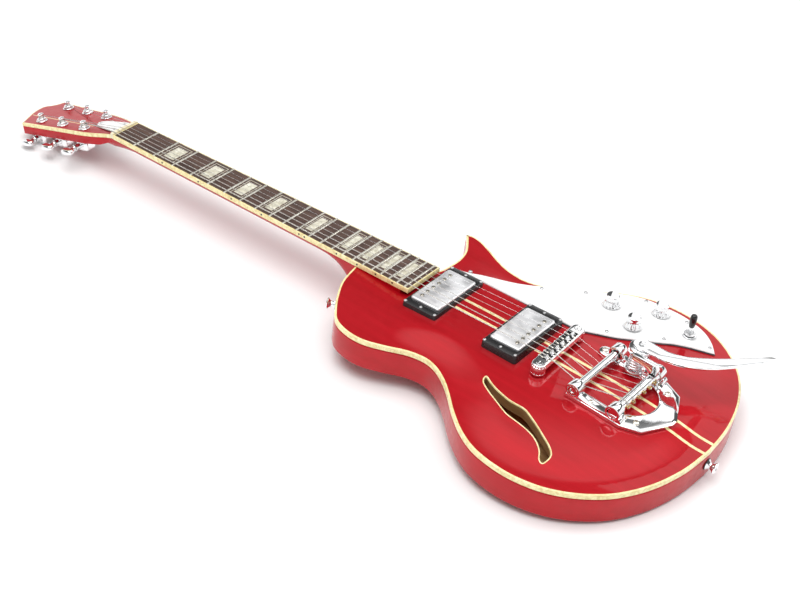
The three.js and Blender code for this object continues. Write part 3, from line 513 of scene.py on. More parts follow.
def softened(loop, spacing, reach):
    """The loop with even points and its corners rounded over a reach on each side."""
    closed = np.vstack([loop, loop[:1]])
    lengths = np.concatenate([[0], np.cumsum(np.linalg.norm(np.diff(closed, axis=0), axis=1))])
    count = int(lengths[-1] / spacing)
    even = np.array([[np.interp(s, lengths, closed[:, k]) for k in (0, 1)]
                     for s in np.linspace(0, lengths[-1], count, endpoint=False)])
    span = max(1, int(reach / spacing))
    return sum(np.roll(even, k, axis=0) for k in range(-span, span + 1)) / (2 * span + 1)


LOWER_BOUT = [
    (42, -192.5), (84, -181.5), (120, -163), (145, -140), (163, -113), (172.5, -85),
    (175, -56), (170.5, -25), (159, 0), (141, 24), (121.5, 45), (108, 62)]
BASS_UPPER_BOUT = [
    (-99, 79), (-96.5, 95), (-101, 114), (-112, 136), (-120.5, 158), (-121, 179),
    (-114, 199), (-96, 215), (-75, 228.5), (-55, 238), (-28, BODY_NECK_END)]
HORN_OUTER = [(98, 80), (92.5, 99), (94, 121), (100, 139), (108, 156), (115, 173), (117, 186), (114, 195)]
HORN_INNER = [(103, 186.5), (87, 176.5), (70, 172), (52, 172), (36, 174.5), (27, 181)]
BODY_LOOP = outline((0, -196), [
    [(-x, y) for x, y in LOWER_BOUT] + BASS_UPPER_BOUT,
    [(27, BODY_NECK_END)],
    [(27, 181)],
    HORN_INNER[::-1][1:] + [(114, 195)],
    (LOWER_BOUT + HORN_OUTER)[::-1][1:] + [(0, -196)]])
SOUND_HOLE_CORNERS = outline((-77, 28.6), [
    [(-87, 27), (-96, 14), (-103, -1), (-108, -12), (-111.5, -20)],
    [(-113, -32), (-115, -46), (-120, -61), (-130, -74), (-139.6, -80), (-142.7, -87)],
    [(-128, -88), (-118.5, -80.5), (-109, -65), (-99, -47), (-91, -30)],
    [(-91.5, -21), (-91.4, -10), (-88.5, 3), (-84.5, 15), (-77, 28.6)]], 6)
SOUND_HOLE_LOOP = softened(SOUND_HOLE_CORNERS, 1.4, 4.5)
CHAMBER_LOOP = outline((-70, 46), [[(-100, 40), (-136, 8), (-150, -40), (-146, -90), (-112, -138),
                                    (-66, -150), (-64, -90), (-62, -20), (-70, 46)]])
PICKGUARD_LOOP = outline((49.5, 161), [
    [(54.8, 140), (64.5, 119), (73.6, 103), (85, 87.5), (100, 70), (118, 48), (137, 22), (151, 3),
     (162, -20), (166, -48), (166, -70), (160, -94), (149, -111), (134.5, -123.5)],
    [(118, -97), (109, -84), (99, -73), (79, -48), (69, -35), (59, -17), (50, 0)],
    [(48.5, 30)],
    [(48.5, 150)]])
HEAD_LOOP = outline((-21.5, 0), [
    [(-22, 8), (-25.5, 21), (-29.5, 42), (-32, 78), (-34.5, 113), (-37, 146)],
    [(-24, 152.5), (-6, 160.5), (8, 163.5), (16, 162), (21, 156.5), (27, 151.5), (36, 148.5)],
    [(33.5, 113), (31.5, 80), (29, 44), (25.5, 22), (22, 8), (21.5, 0)]])
CAVITY_POINTS = [(112, 16), (130, 12), (147, -12), (160, -40), (161, -72), (150, -100), (134, -104),
                 (112, -78), (86, -50), (84, -26), (98, 6)]
CAVITY_LOOP = outline(CAVITY_POINTS[0], [CAVITY_POINTS[1:] + CAVITY_POINTS[:1]])
TRUSS_COVER_LOOP = outline((-14.5, 1), [[
    (-13.5, 12), (-11.5, 22), (-10, 31), (-7, 39), (0, 43.5), (7, 39), (10, 31), (11.5, 22), (13.5, 12),
    (14.5, 1)]])
ARM_LOOP = outline((38, -77), [
    [(39.5, -92), (41.5, -109), (48, -127.5), (56.5, -140), (68, -151.5), (94.5, -171.5), (123, -190.5)],
    [(127.5, -192), (130.5, -189), (128.5, -184.5)],
    [(104, -163.5), (86, -147), (71, -131), (61, -117), (55.5, -101), (56.5, -77)]])


def distance_to_loop(x, y, loop):
    a, b = loop, np.roll(loop, -1, axis=0)
    edge = b - a
    rel = np.array([x, y]) - a
    t = np.clip((rel * edge).sum(1) / np.maximum((edge * edge).sum(1), 1e-12), 0, 1)
    return float(np.sqrt(((rel - edge * t[:, None]) ** 2).sum(1).min()))


def inside(x, y, loop):
    a, b = loop, np.roll(loop, -1, axis=0)
    crosses = (a[:, 1] > y) != (b[:, 1] > y)
    rise = np.where(crosses, b[:, 1] - a[:, 1], 1)
    at_x = a[:, 0] + (y - a[:, 1]) / rise * (b[:, 0] - a[:, 0])
    return bool((crosses & (x < at_x)).sum() % 2)


def eased(t):
    return t * t * (3 - 2 * t)


def top_height(x, y):
    """Height of the arched top above the back, as in the model."""
    reach = CROWN_REACH_TO_NECK if y > CROWN_CENTRE_Y else CROWN_REACH_TO_TAIL
    crown = max(0, 1 - (x / CROWN_HALF_WIDTH) ** 2 - ((y - CROWN_CENTRE_Y) / reach) ** 2) ** CROWN_FULLNESS
    return RIM_HEIGHT + ARCH_RISE * crown * eased(min(1, distance_to_loop(x, y, BODY_LOOP) / RECURVE_WIDTH))


def above_top(extra):
    return lambda x, y: top_height(x, y) + extra


def constant(value):
    return lambda x, y: value


def on_top(x, y, extra):
    return x, y, top_height(x, y) + extra


def sheet(loop, top, bottom, holes=(), cell=5.0, top_loop=None):
    """A closed sheet between two height functions. top_loop moves its upper edge sideways."""
    rims = [np.array(loop, float), *holes]
    points, edges = [], []
    for rim in rims:
        start, count = len(points), len(rim)
        points += [Vector(p) for p in rim]
        edges += [(start + i, start + (i + 1) % count) for i in range(count)]

    def covered(x, y):
        return inside(x, y, rims[0]) and not any(inside(x, y, hole) for hole in holes)

    low, high = rims[0].min(axis=0), rims[0].max(axis=0)
    for j, y in enumerate(np.arange(low[1], high[1], cell * 0.87)):
        for x in np.arange(low[0] + (j % 2) * cell / 2, high[0], cell):
            if covered(x, y) and all(distance_to_loop(x, y, rim) > cell * 0.6 for rim in rims):
                points.append(Vector((x, y)))
    flat, _, triangles, _, _, _ = delaunay_2d_cdt(points, edges, [], 0, 1e-5)
    kept = [list(corners) for corners in triangles if covered(*np.mean([flat[i] for i in corners], axis=0))]
    upper = [tuple(p) for p in flat]
    if top_loop is not None:
        upper[:len(top_loop)] = top_loop
    count = len(flat)
    faces = kept + [[count + i for i in triangle[::-1]] for triangle in kept]
    sides = [side for triangle in kept for side in zip(triangle, triangle[1:] + triangle[:1])]
    inner = set(sides)
    faces += [[a, count + a, count + b, b] for a, b in sides if (b, a) not in inner]
    return lifted(upper, top) + lifted(flat, bottom), faces


def band(loop, width, low, high, rounding=0.6):
    """A strip that follows the inside of a loop; low and high are height functions."""
    inner = inset(loop, width)
    return rings([
        lifted(loop, low), lifted(loop, high, -rounding),
        lifted(inset(loop, 0.3 * rounding), high, -0.28 * rounding), lifted(inset(loop, rounding), high),
        lifted(inner, high), lifted(inner, low)], closed=True)


def frame_of(outer, inner, low, high, lean=0.0, bevel=0.5):
    """A frame between two loops of the same length, its outer side leaning inwards."""
    stations = [(outer, 0, low), (outer, lean, high - bevel),
                (outer, lean + bevel * 0.3, high - bevel * 0.3), (outer, lean + bevel, high),
                (inner, -bevel * 0.4, high), (inner, 0, high - bevel * 0.4), (inner, 0, low)]
    return rings([flat_loop(inset(loop, d), z) for loop, d, z in stations], closed=True)


def string_x(string, span):
    return span * (string / 5 - 0.5)


def board_half(y):
    """Half the fretboard's width at this distance from the bridge line."""
    t = (SCALE_LENGTH - y) / (SCALE_LENGTH - BOARD_END)
    return BOARD_HALF_AT_NUT + (BOARD_HALF_AT_END - BOARD_HALF_AT_NUT) * t


# ---- Body ----
def make_body():
    rear_opening = inset(CAVITY_LOOP, -COVER_LEDGE)
    piece("body_sides", slab(BODY_LOOP, 0, SIDE_TOP, 2.6, 5), RED, replaces="body",
          cuts=[slab(CHAMBER_LOOP, 6, 60, 0.1, 1), slab(rear_opening, -1, 3, 0.1, 1), *pickup_wells()])
    wall = inset(CHAMBER_LOOP, 0.05)
    lining = inset(wall, 0.8)
    # The chamber floor and wall use the lighter cavity wood, which is painted light where they lie in shade
    piece("chamber_lining", sheet(wall, constant(6.6), constant(6.1), cell=12), CAVITY_WOOD_PAINTED_LIGHT)
    piece("chamber_wall", rings([flat_loop(wall, 6.2), flat_loop(wall, SIDE_TOP - 0.2),
                                 flat_loop(lining, SIDE_TOP - 0.2), flat_loop(lining, 6.2)], closed=True),
          CAVITY_WOOD_PAINTED_LIGHT)
    hole = SOUND_HOLE_LOOP
    piece("body_arch", sheet(inset(BODY_LOOP, BINDING_WIDTH), top_height, constant(SIDE_TOP), [hole]), RED,
          cuts=pickup_wells(), replaces="body_top", angle=50)
    binding = band(BODY_LOOP, BINDING_WIDTH - 0.02, constant(SIDE_TOP + 0.02), top_height)
    piece("body_binding", binding, CREAM)
    edge, wood = inset(hole, 0.02), inset(hole, 0.8)
    piece("sound_hole_binding", rings([lifted(inset(hole, d), top_height, rise) for d, rise in (
        (0.02, -1.3), (0.02, 0.02), (0.5, 0.18), (1.3, 0.1), (1.6, -1.3))], closed=True), CREAM)
    # The sound hole's inner wall takes the darker edge wood as painted shade
    piece("sound_hole_wall", rings([
        flat_loop(edge, SIDE_TOP - 0.3), lifted(edge, top_height, -1.32), lifted(wood, top_height, -1.32),
        flat_loop(wood, SIDE_TOP - 0.3)], closed=True), EDGE_WOOD_PAINTED_SHADE)
    section = [(7.2, -0.3), (7.2, 0.1), (10.8, 0.1), (10.8, -0.3)]
    stripes = [rings([[on_top(side * x, y, z) for x, z in section]
                      for y in np.linspace(low, high, int((high - low) / 4))])
               for side in (-1, 1) for low, high in ((-194.4, 15.2), (63, 119.8))]
    piece("centre_stripes", joined(*stripes), CREAM)
    screw_places = [CAVITY_LOOP[int(len(CAVITY_LOOP) * share)]
                    for share in (0.02, 0.2, 0.38, 0.55, 0.72, 0.88)]
    countersink = lathe([(0, -1), (2.6, -1), (2.6, 0.7), (1.4, 1.8), (0, 1.8)], 24)
    piece("rear_cover", slab(inset(rear_opening, 0.4), 0.3, 2.6, 0.5), BLACK, replaces="control_cover",
          cuts=[placed(countersink, at(*p)) for p in screw_places])
    piece("rear_cover_screws",
          copies(screw(2.4, 1.1), [at(*p, 1.35) @ UPSIDE_DOWN for p in screw_places]), STEEL)


def pickup_wells():
    size = (PICKUP_SIZE[0] + 3, PICKUP_SIZE[1] + 3)
    return [placed(slab(rounded_rectangle(*size, 4, 4, (0, y)), -27, 12, 0.1, 1), NECK)
            for y in (NECK_PICKUP_Y, BRIDGE_PICKUP_Y)]


# ---- Neck, fretboard and headstock ----
# Distance from the bridge line, depth below the board, and how square the section is.
NECK_STATIONS = [
    (181, 31, 6), (244.6, 32, 6), (248, 32, 6), (252, 31, 5), (257, 28, 4), (262, 24, 3.2), (268, 20.5, 2.6),
    (276, 18, 2.0), (288, 16.5, 1.6), (300, 16, 1.5), (380, 15.4, 1.5), (470, 14.8, 1.5), (560, 14.3, 1.5),
    (596, 14, 1.5), (612, 14.6, 1.75), (624, 15.4, 2.2), (630, 15.8, 2.6)]
# Where the neck runs on inside the headstock: distance, half width, top and bottom.
NECK_TONGUE = [(640, 21.4, -7.0, -23.6), (650, 20, -9.4, -25.4), (660, 15, -12, -26.6), (672, 8, -15, -27.4)]
TONGUE_POWER = 2.6


def signed_power(value, power):
    return copysign(abs(value) ** power, value)


def neck_loop(y, half, top, bottom, power, steps=28):
    """Half a rounded section that hangs below a flat top; a higher power is squarer."""
    loop = []
    for k in range(steps + 1):
        angle = pi * (k / steps - 1)
        across, down = cos(angle), abs(sin(angle))
        loop.append((half * signed_power(across, 2 / power), y, top - (top - bottom) * down ** (2 / power)))
    return loop


def make_neck():
    loops = [neck_loop(y, board_half(y) - 0.1, NECK_TOP, NECK_TOP - depth, power)
             for y, depth, power in NECK_STATIONS]
    loops += [neck_loop(*station, TONGUE_POWER) for station in NECK_TONGUE]
    on_neck("neck_shaft", rings(loops), RED, replaces="neck", angle=46)

    def head_back(x, y):
        outwards = min(1, abs(x) / BOARD_HALF_AT_NUT) ** 1.6
        return -HEAD_THICKNESS + 4.5 * outwards * eased(max(0.0, 1 - y / 22))

    on_head("head_slab", sheet(HEAD_LOOP, constant(-4.2), head_back, cell=6), RED, bevel=0.9)
    face = inset(HEAD_LOOP, 1.8)
    on_head("head_face", rings([flat_loop(face, -4.3), flat_loop(face, 0)]), RED)
    on_head("head_binding", band(HEAD_LOOP, 1.78, constant(-4.18), constant(0.02), 0.4), CREAM)
    stripe = [(-9.4, 44), (-8.2, 44), (-11.6, 154), (-12.8, 153.5)]
    on_head("head_stripe", slab(stripe, -0.2, 0.06, 0.02, 1), CREAM)
    on_head("truss_cover_base", slab(TRUSS_COVER_LOOP, 0.3, 1.2, 0.15), GREY_EDGE,
          replaces="truss_rod_cover")
    on_head("truss_cover_face", slab(inset(TRUSS_COVER_LOOP, 0.7), 1.2, 2, 0.25), WHITE)
    on_head("truss_cover_screws", screws_at(1.7, 1.1, [(0, 38.4, 2), (-8.6, 5, 2), (8.6, 5, 2)]), STEEL)


def fret_y(fret):
    return SCALE_LENGTH * 2 ** (-fret / 12)


def cross_bar(y, half, low, high, width, end=0.5):
    """A crowned bar across the board, such as a fret."""
    tall = high - low
    profile = [(-width / 2, low), (-width / 2, high - 0.45 * tall)]
    for angle in [pi * (1 - k / 6) for k in range(7)]:
        profile.append((width / 2 * cos(angle), high - (0.45 - 0.45 * sin(angle)) * tall))
    profile.append((width / 2, low))
    return rings([[(x, y + py, low + (pz - low) * shrink) for py, pz in profile]
                  for x, shrink in ((-half, 0.55), (-half + end, 1), (half - end, 1), (half, 0.55))])


def make_fretboard():
    nut_end = SCALE_LENGTH - 0.3
    corners = [(-BOARD_HALF_AT_END, BOARD_END), (BOARD_HALF_AT_END, BOARD_END),
               (BOARD_HALF_AT_NUT, nut_end), (-BOARD_HALF_AT_NUT, nut_end)]
    on_neck("board_wood", slab(inset(corners, 1.5), BOARD_BOTTOM, BOARD_TOP, 0.15, 1), ROSEWOOD,
          replaces="fretboard")
    on_neck("board_binding",
            frame_of(corners, inset(corners, 1.52), BOARD_BOTTOM, BOARD_TOP + 0.02, 0, 0.4), CREAM)
    frets = [cross_bar(y, board_half(y) - 0.5, BOARD_TOP - 0.2, 0, 2.3)
             for y in map(fret_y, range(1, FRET_COUNT + 1))]
    on_neck("frets", joined(*frets), FRET_WIRE)
    inlays, dots = [], []
    low, high = BOARD_TOP - 0.3, BOARD_TOP + 0.05
    for fret in (3, 5, 7, 9, 12, 15, 17, 19, 21):
        near, far = fret_y(fret), fret_y(fret - 1)
        middle, room = (near + far) / 2, far - near
        half, quarter = board_half(middle) * 0.56, room * 0.5 / 2
        inlays.append(block((-half, half), (middle - quarter, middle + quarter), (low, high), 0.02))
        edge, gap = board_half(middle) * 0.76, room * 0.36
        border = [(-edge, middle - gap), (edge, middle - gap), (edge, middle + gap), (-edge, middle + gap)]
        inlays.append(frame_of(border, inset(border, 0.75), low, high, 0, 0.02))
        for offset in ((-4, 4) if fret == 12 else (0,)):
            dots.append(placed(disc(1.1, -0.3, 0.06, 0.05, 16),
                               at(-board_half(middle), middle + offset, BOARD_TOP - 2.4) @ TO_X))
    on_neck("inlays", joined(*inlays), PEARL)
    on_neck("side_dots", joined(*dots), BLACK)


def make_nut():
    low, high = NECK_TOP + 0.4, STRING_AT_NUT_Z - STRING_RADII[0] - 0.3
    half = BOARD_HALF_AT_NUT - 0.3
    profile = [(-half, low), (-half, high + 0.1)]
    for string, radius in enumerate(STRING_RADII):
        x, r, floor = string_x(string, STRING_SPAN_AT_NUT), radius + 0.12, STRING_AT_NUT_Z - radius - 0.15
        profile += [(x - r - 0.15, high + 0.5), (x - r, floor), (x + r, floor), (x + r + 0.15, high + 0.5)]
    profile += [(half, high + 0.1), (half, low)]
    loops = [[(x, y, z) for x, z in profile]
             for y in (SCALE_LENGTH + 0.1, SCALE_LENGTH + NUT_LENGTH - 0.4)]
    on_neck("nut_slotted", rings(loops), NUT_BONE, replaces="nut")


# ---- Tuners ----
def tuner_places():
    """Each post's x, y and side, in the order of the strings."""
    places = list(zip(POST_SPREAD, POST_ROWS))
    return [(-x, y, -1) for x, y in places] + [(x, y, 1) for x, y in places[::-1]]


def make_tuner(number, x, y, side):
    low, high = -HEAD_THICKNESS - 13, -HEAD_THICKNESS - 0.3
    axle = at(0, y + WORM_OFFSET, -TUNER_AXIS_DEPTH) @ TO_X
    housing = slab(rounded_rectangle(17, 19, 4.6, 7, (x, y + WORM_OFFSET / 2)), low, high, 3.2, 6)
    ear = slab(rounded_rectangle(8, 7, 3.2, 6, (x, y - 9.5)), high - 1.8, high, 0.4)
    collar = placed(disc(3.6, *sorted((side * (abs(x) + 6), side * 35)), 0.5), axle)
    rib = placed(disc(4.2, *sorted((side * 33.4, side * 35)), 0.4), axle)
    on_head(f"tuner_housing_shell_{number}", joined(housing, ear, collar, rib), CHROME,
          replaces=f"tuner_housing_{number}")
    washer = placed(disc(7.2, 0.05, 1.4, 0.35, bore=3.4), at(x, y))
    hexagon = slab(polygon(6.3, 6, 0.2 * number, (x, y)), 1.35, 3.6, 0.5, 2)
    collet = placed(disc(4.9, 3.4, 4.4, 0.4, bore=3.3), at(x, y))
    fixing = placed(screw(2.1, 1.1), at(x, y - 10, high - 1.8) @ UPSIDE_DOWN)
    on_head(f"tuner_bush_{number}", joined(washer, hexagon, collet, fixing), CHROME)
    post = lathe([(0, -20), (3, -20), (3, 4.4), (2.8, 4.9), (2.55, 5.4), (2.55, 7.2), (2.9, 7.8), (3.6, 8.2),
                  (3.8, 8.8), (3.6, 9.6), (2.9, 10.1), (0, 10.2)], 32)
    groove = block((-4.2, 4.2), (-0.55, 0.55), (9.3, 10.5), 0.05)
    on_head(f"tuner_capstan_{number}", placed(post, at(x, y)), CHROME, f"tuner_post_{number}",
          cuts=[placed(groove, at(x, y))], replaces=f"tuner_post_{number}")
    radius, steps = STRING_RADII[number - 1], 24
    reach = POST_RADIUS + radius
    wraps = [(x - side * reach * cos(tau * k / steps), y + reach * sin(tau * k / steps),
              WRAP_Z - (2 * radius + 0.02) * k / steps) for k in range(WRAP_TURNS * steps + 1)]
    on_head(f"string_wrap_{number}", tube(wraps, radius, 8), WIRES[number - 1], f"tuner_post_{number}")
    make_tuner_button(number, y, side)


def make_tuner_button(number, y, side):
    shaft = lathe([(0, 35.6), (3.0, 35.6), (3.2, 36), (2.6, 37.6), (2.4, 39.4), (3.3, 41), (3.6, 42.5),
                   (0, 43)], 28)
    loop = []
    for angle in [tau * k / 48 for k in range(48)]:
        waist = 1 - 0.1 * exp(-((cos(angle) * side + 1) / 0.12) ** 2)
        across = 6.4 * signed_power(cos(angle), 0.85) * waist
        loop.append((side * BUTTON_REACH + across, 9.4 * signed_power(sin(angle), 0.75)))
    centre = at(0, y + WORM_OFFSET, -TUNER_AXIS_DEPTH)
    key = joined(placed(shaft, TO_X if side > 0 else TO_MINUS_X), slab(loop, -3.2, 3.2, 2.9, 7))
    on_head(f"tuner_key_{number}", placed(key, centre), CHROME, f"tuner_button_{number}",
          replaces=f"tuner_button_{number}")


# ---- Pickups ----
def make_pickup(name, centre_y, ring_top, cover_top, screw_side):
    centre = (0, centre_y)
    outer = rounded_rectangle(*RING_SIZE, 4, 6, centre)
    window = rounded_rectangle(PICKUP_SIZE[0] + 1, PICKUP_SIZE[1] + 1, 3, 6, centre)
    on_neck(f"{name}_frame", frame_of(outer, window, ring_top - 17, ring_top, 1.3, 0.7), BLACK,
          replaces=f"{name}_pickup_ring")
    seat = ring_top - 0.1
    corners = [(sx * 42, centre_y + sy * 19.6, seat) for sx in (-1, 1) for sy in (-1, 1)]
    ends = [(sx * 40.6, centre_y, seat) for sx in (-1, 1)]
    on_neck(f"{name}_frame_screws", joined(screws_at(1.9, 1.2, corners), screws_at(1.8, 1.2, ends)), STEEL)
    poles = [at(string_x(k, POLE_SPAN), centre_y + screw_side * 10.2, cover_top) for k in range(6)]
    well = lathe([(0, -1), (2.5, -1), (2.7, 0.4), (0, 0.4)], 24)
    cover = slab(rounded_rectangle(*PICKUP_SIZE, 3, 7, centre), cover_top - 22, cover_top, 1.7, 5)
    on_neck(f"{name}_cover", cover, COVER_CHROME, f"{name}_pickup",
            cuts=[placed(well, pole) for pole in poles], replaces=f"{name}_pickup")
    radius, tall = 2.2, 0.9
    head = lathe([(0, -0.5), (radius, -0.5), (radius, tall * 0.7), (radius * 0.85, tall), (0, tall)], 24)
    long, wide = radius * 0.9, radius * 0.16
    slot = block((-long, long), (-wide, wide), (tall * 0.55, tall + 0.02), 0.01)
    seats = [pole @ at(0, 0, -0.5) for pole in poles]
    on_neck(f"{name}_poles", copies(head, seats), NICKEL, f"{name}_pickup",
          cuts=[placed(slot, place @ Matrix.Rotation(0.5 * k, 4, "Z")) for k, place in enumerate(seats)],
          slot="pickup_chrome")


# ---- Pickguard and controls ----
def make_pickguard():
    inner = inset(PICKGUARD_LOOP, 0.55)
    crisp("pickguard_base", sheet(PICKGUARD_LOOP, above_top(2.0), above_top(0.5), cell=9, top_loop=inner),
          GREY_EDGE, replaces="pickguard")
    crisp("pickguard_face", sheet(inner, above_top(GUARD_TOP), above_top(2.0), cell=7,
                                  top_loop=inset(PICKGUARD_LOOP, 1.3)), WHITE)
    places = [(89.4, 73.4), (120, 34.7), (70.6, -23.2), (157.5, -21.3), (108.2, -73), (158.5, -73.2),
              (138.1, -113.9), (54.5, 146)]
    piece("pickguard_screws", screws_at(2.3, 1.3, [on_top(x, y, GUARD_TOP) for x, y in places]), STEEL)


def make_knob(number, x, y):
    foot = top_height(x, y) + 5.3
    segments = 72
    profile = [(0, 0), (9.9, 0), (10.4, 0.3), (10.5, 0.9), (10.3, 1.6), (9.6, 3.0), (8.7, 4.6), (7.8, 6.4),
               (7.3, 7.6), (7.2, 9.0), (7.4, 11.9), (7.2, 12.5), (6.6, 12.9), (5.9, 13.0), (0, 13.0)]
    cap = lathe(profile, segments)
    for i, point in enumerate(cap[0]):
        ring, step = divmod(i, segments)
        if ring in (4, 5, 6, 7) and step % 4 in (0, 1):
            point.x *= 0.96
            point.y *= 0.96
    crisp(f"knob_cap_{number}", placed(joined(cap, disc(3, -16, 1)), at(x, y, foot)), body=f"knob_{number}",
          replaces=f"knob_{number}")
    piece(f"knob_washer_{number}", placed(disc(5.6, 0, 0.8, 0.2, bore=3.2), at(x, y, foot - 2.1)), CHROME)


def make_switch():
    washer = placed(disc(8, 43.9, 44.9, 0.3, 40, bore=5), at(*SWITCH_CENTRE))
    knurled = polygon(lambda k: 6.2 if k % 2 else 5.85, 60, 0, SWITCH_CENTRE)
    nut = frame_of(knurled, polygon(4.6, 60, 0, SWITCH_CENTRE), 44.8, 47.4, 0, 0.4)
    crisp("switch_nut", joined(washer, nut), replaces="switch_body")
    stem = lathe([(0, 38), (1.6, 38), (1.6, 56), (0, 56)], 20)
    piece("switch_stem", placed(stem, at(*SWITCH_CENTRE)), CHROME, "switch_lever", replaces="switch_lever")
    tip = lathe([(0, 55), (2.4, 55), (2.9, 55.3), (3.3, 57), (3.8, 61), (4, 65), (3.9, 68), (3.3, 70.4),
                 (2.1, 71.4), (0, 71.6)], 32)
    piece("switch_tip", placed(tip, at(*SWITCH_CENTRE)), BLACK, "switch_lever")


def make_jack():
    plate = lathe([(6.2, 175.05), (10.4, 175.05), (10.5, 175.6), (9.9, 176.3), (6.2, 176.4),
                   (6.2, 175.05)], 48)
    sleeve = lathe([(3.25, 158), (4.6, 158), (4.6, 177.0), (3.25, 177.0), (3.25, 158)], 32)
    nut = rings([cross_section(x, polygon(radius, 6))
                 for x, radius in ((175.9, 5.9), (177.0, 5.6), (177.0, 3.3), (175.9, 3.3))], closed=True)
    crisp("jack_cup", placed(joined(placed(joined(plate, sleeve), TO_X), nut), at(0, -70, 16)),
          replaces="output_jack")


def strap_button(name, x, y, direction, replaced):
    turn = Vector((0, 0, 1)).rotation_difference(Vector(direction)).to_matrix().to_4x4()
    place = at(x, y, 18.5) @ turn
    profile = [(1.6, 10.2), (2.2, 10.9), (5.4, 10.95), (6.2, 10.6), (6.6, 9.8), (6.3, 9.0), (5.0, 8.1),
               (4.0, 7.0), (3.4, 5.4), (3.4, 4.2), (4.2, 2.8), (5.6, 1.5), (6.0, 0.9), (0, 0.9)]
    piece(f"{name}_spool", placed(lathe(profile), place), CHROME, replaces=replaced)
    piece(f"{name}_felt", placed(disc(6.6, 0.0, 1.0, 0.35, 40, bore=2), place), FELT)
    piece(f"{name}_screw", placed(screw(2.4, 1.2), place @ at(0, 0, 9.6)), STEEL)


# ---- Bridge ----
def make_bridge():
    trough = block((-30.5, 30.5), (-5.4, 5.4), (54.6, 62), 0.1)
    hole = lathe([(0, 40), (4.1, 40), (4.1, 70), (0, 70)], 32)
    bar = slab(rounded_rectangle(2 * BRIDGE_POST_X + 14, 15, 6.8, 10), 52.1, 59.6, 1.2, 4)
    holes = [placed(hole, at(side * BRIDGE_POST_X, 0)) for side in (-1, 1)]
    piece("bridge_bar", bar, CHROME, matrix=BRIDGE, cuts=[trough, *holes], replaces="bridge_beam")
    for side, name in ((-1, "bass"), (1, "treble")):
        make_bridge_post(name, side * BRIDGE_POST_X)
    # A thin black sheet on the chrome trough floor: painted shade in the gaps between the saddles
    piece("bridge_trough", block((-30.4, 30.4), (-5.3, 5.3), (54.5, 54.8), 0.02), BLACK, matrix=BRIDGE,
          slot="chrome")
    for string, radius in enumerate(STRING_RADII):
        make_saddle(string + 1, string_x(string, STRING_SPAN_AT_BRIDGE), radius)


def make_bridge_post(name, x):
    foot = top_height(x, BRIDGE_Y) + 0.6
    shank = lathe([(0, 26), (3.8, 26), (3.8, 59.6), (3.4, 60.4), (0, 60.4)], 36)
    thumb = slab(polygon(lambda k: 8 if k % 2 else 7.6, 64), foot + 0.6, foot + 2.6, 0.35, 2)
    steps = 112
    flutes = polygon(lambda k: 8.0 - 0.85 * max(0, cos(tau * k / 8)) ** 2, steps, 0, (x, 0))
    barrel = frame_of(flutes, polygon(4.2, steps, 0, (x, 0)), foot + 2.9, 57.4, 0, 0.6)
    crisp(f"bridge_barrel_{name}", barrel, matrix=BRIDGE)
    slot = block((-3.3, 3.3), (-0.5, 0.5), (59.2, 61), 0.02)
    crisp(f"bridge_stud_{name}", placed(joined(shank, thumb), at(x, 0)), body=f"bridge_post_{name}",
          matrix=BRIDGE, cuts=[placed(slot, at(x, 0))], replaces=f"bridge_post_{name}")


def make_saddle(number, x, radius):
    crest = STRING_AT_BRIDGE_Z - radius - 0.6
    profile = [(-2.8, 54.9), (2.8, 54.9), (2.8, crest - 3), (0.5, crest + 0.3), (-0.5, crest + 0.3),
               (-2.8, crest - 3)]
    notch = block((x - radius - 0.1, x + radius + 0.1), (-4, 4), (crest - 0.05, 66), 0.01)
    piece(f"saddle_crest_{number}", rings([cross_section(x + dx, profile) for dx in (-3.1, 3.1)]), CHROME,
          f"saddle_{number}", BRIDGE, cuts=[notch], bevel=0.25, replaces=f"saddle_{number}",
          slot="saddle_brass")
    shank = placed(disc(1.0, -5.2, 5.2, 0.1, 14), at(x, 0, 56.6) @ TO_Y)
    head = placed(disc(2.0, 7.3, 8.6, 0.3, 20), at(x, 0, 56.4) @ TO_Y)
    slot = block((x - 1.9, x + 1.9), (8.1, 9), (56.15, 56.65), 0.01)
    piece(f"intonation_screw_{number}", joined(shank, head), NICKEL, matrix=BRIDGE, cuts=[slot])


# ---- Vibrato tailpiece ----
def horseshoe_loop():
    loop = [(-35, -48), (-47, -48), (-47, -114), (-38, -135), (-4, -152), (4, -152), (38, -135), (47, -114),
            (47, -48), (35, -48), (32, -48), (32, -72), (32, -90)]
    loop += [(31 * cos(a), -96 - 31 * sin(a)) for a in np.linspace(0, pi, 25)]
    return np.array(loop + [(-32, -90), (-32, -72), (-32, -48)])


RAIL_PROFILE = outline((-114, 46), [[
    (-114, 50), (-111, 53), (-103, 54), (-95, 52), (-84, 50.4), (-72, 50.6), (-63, 52.5), (-55, 54),
    (-48.5, 52), (-47, 48), (-47, 46)]], 5)


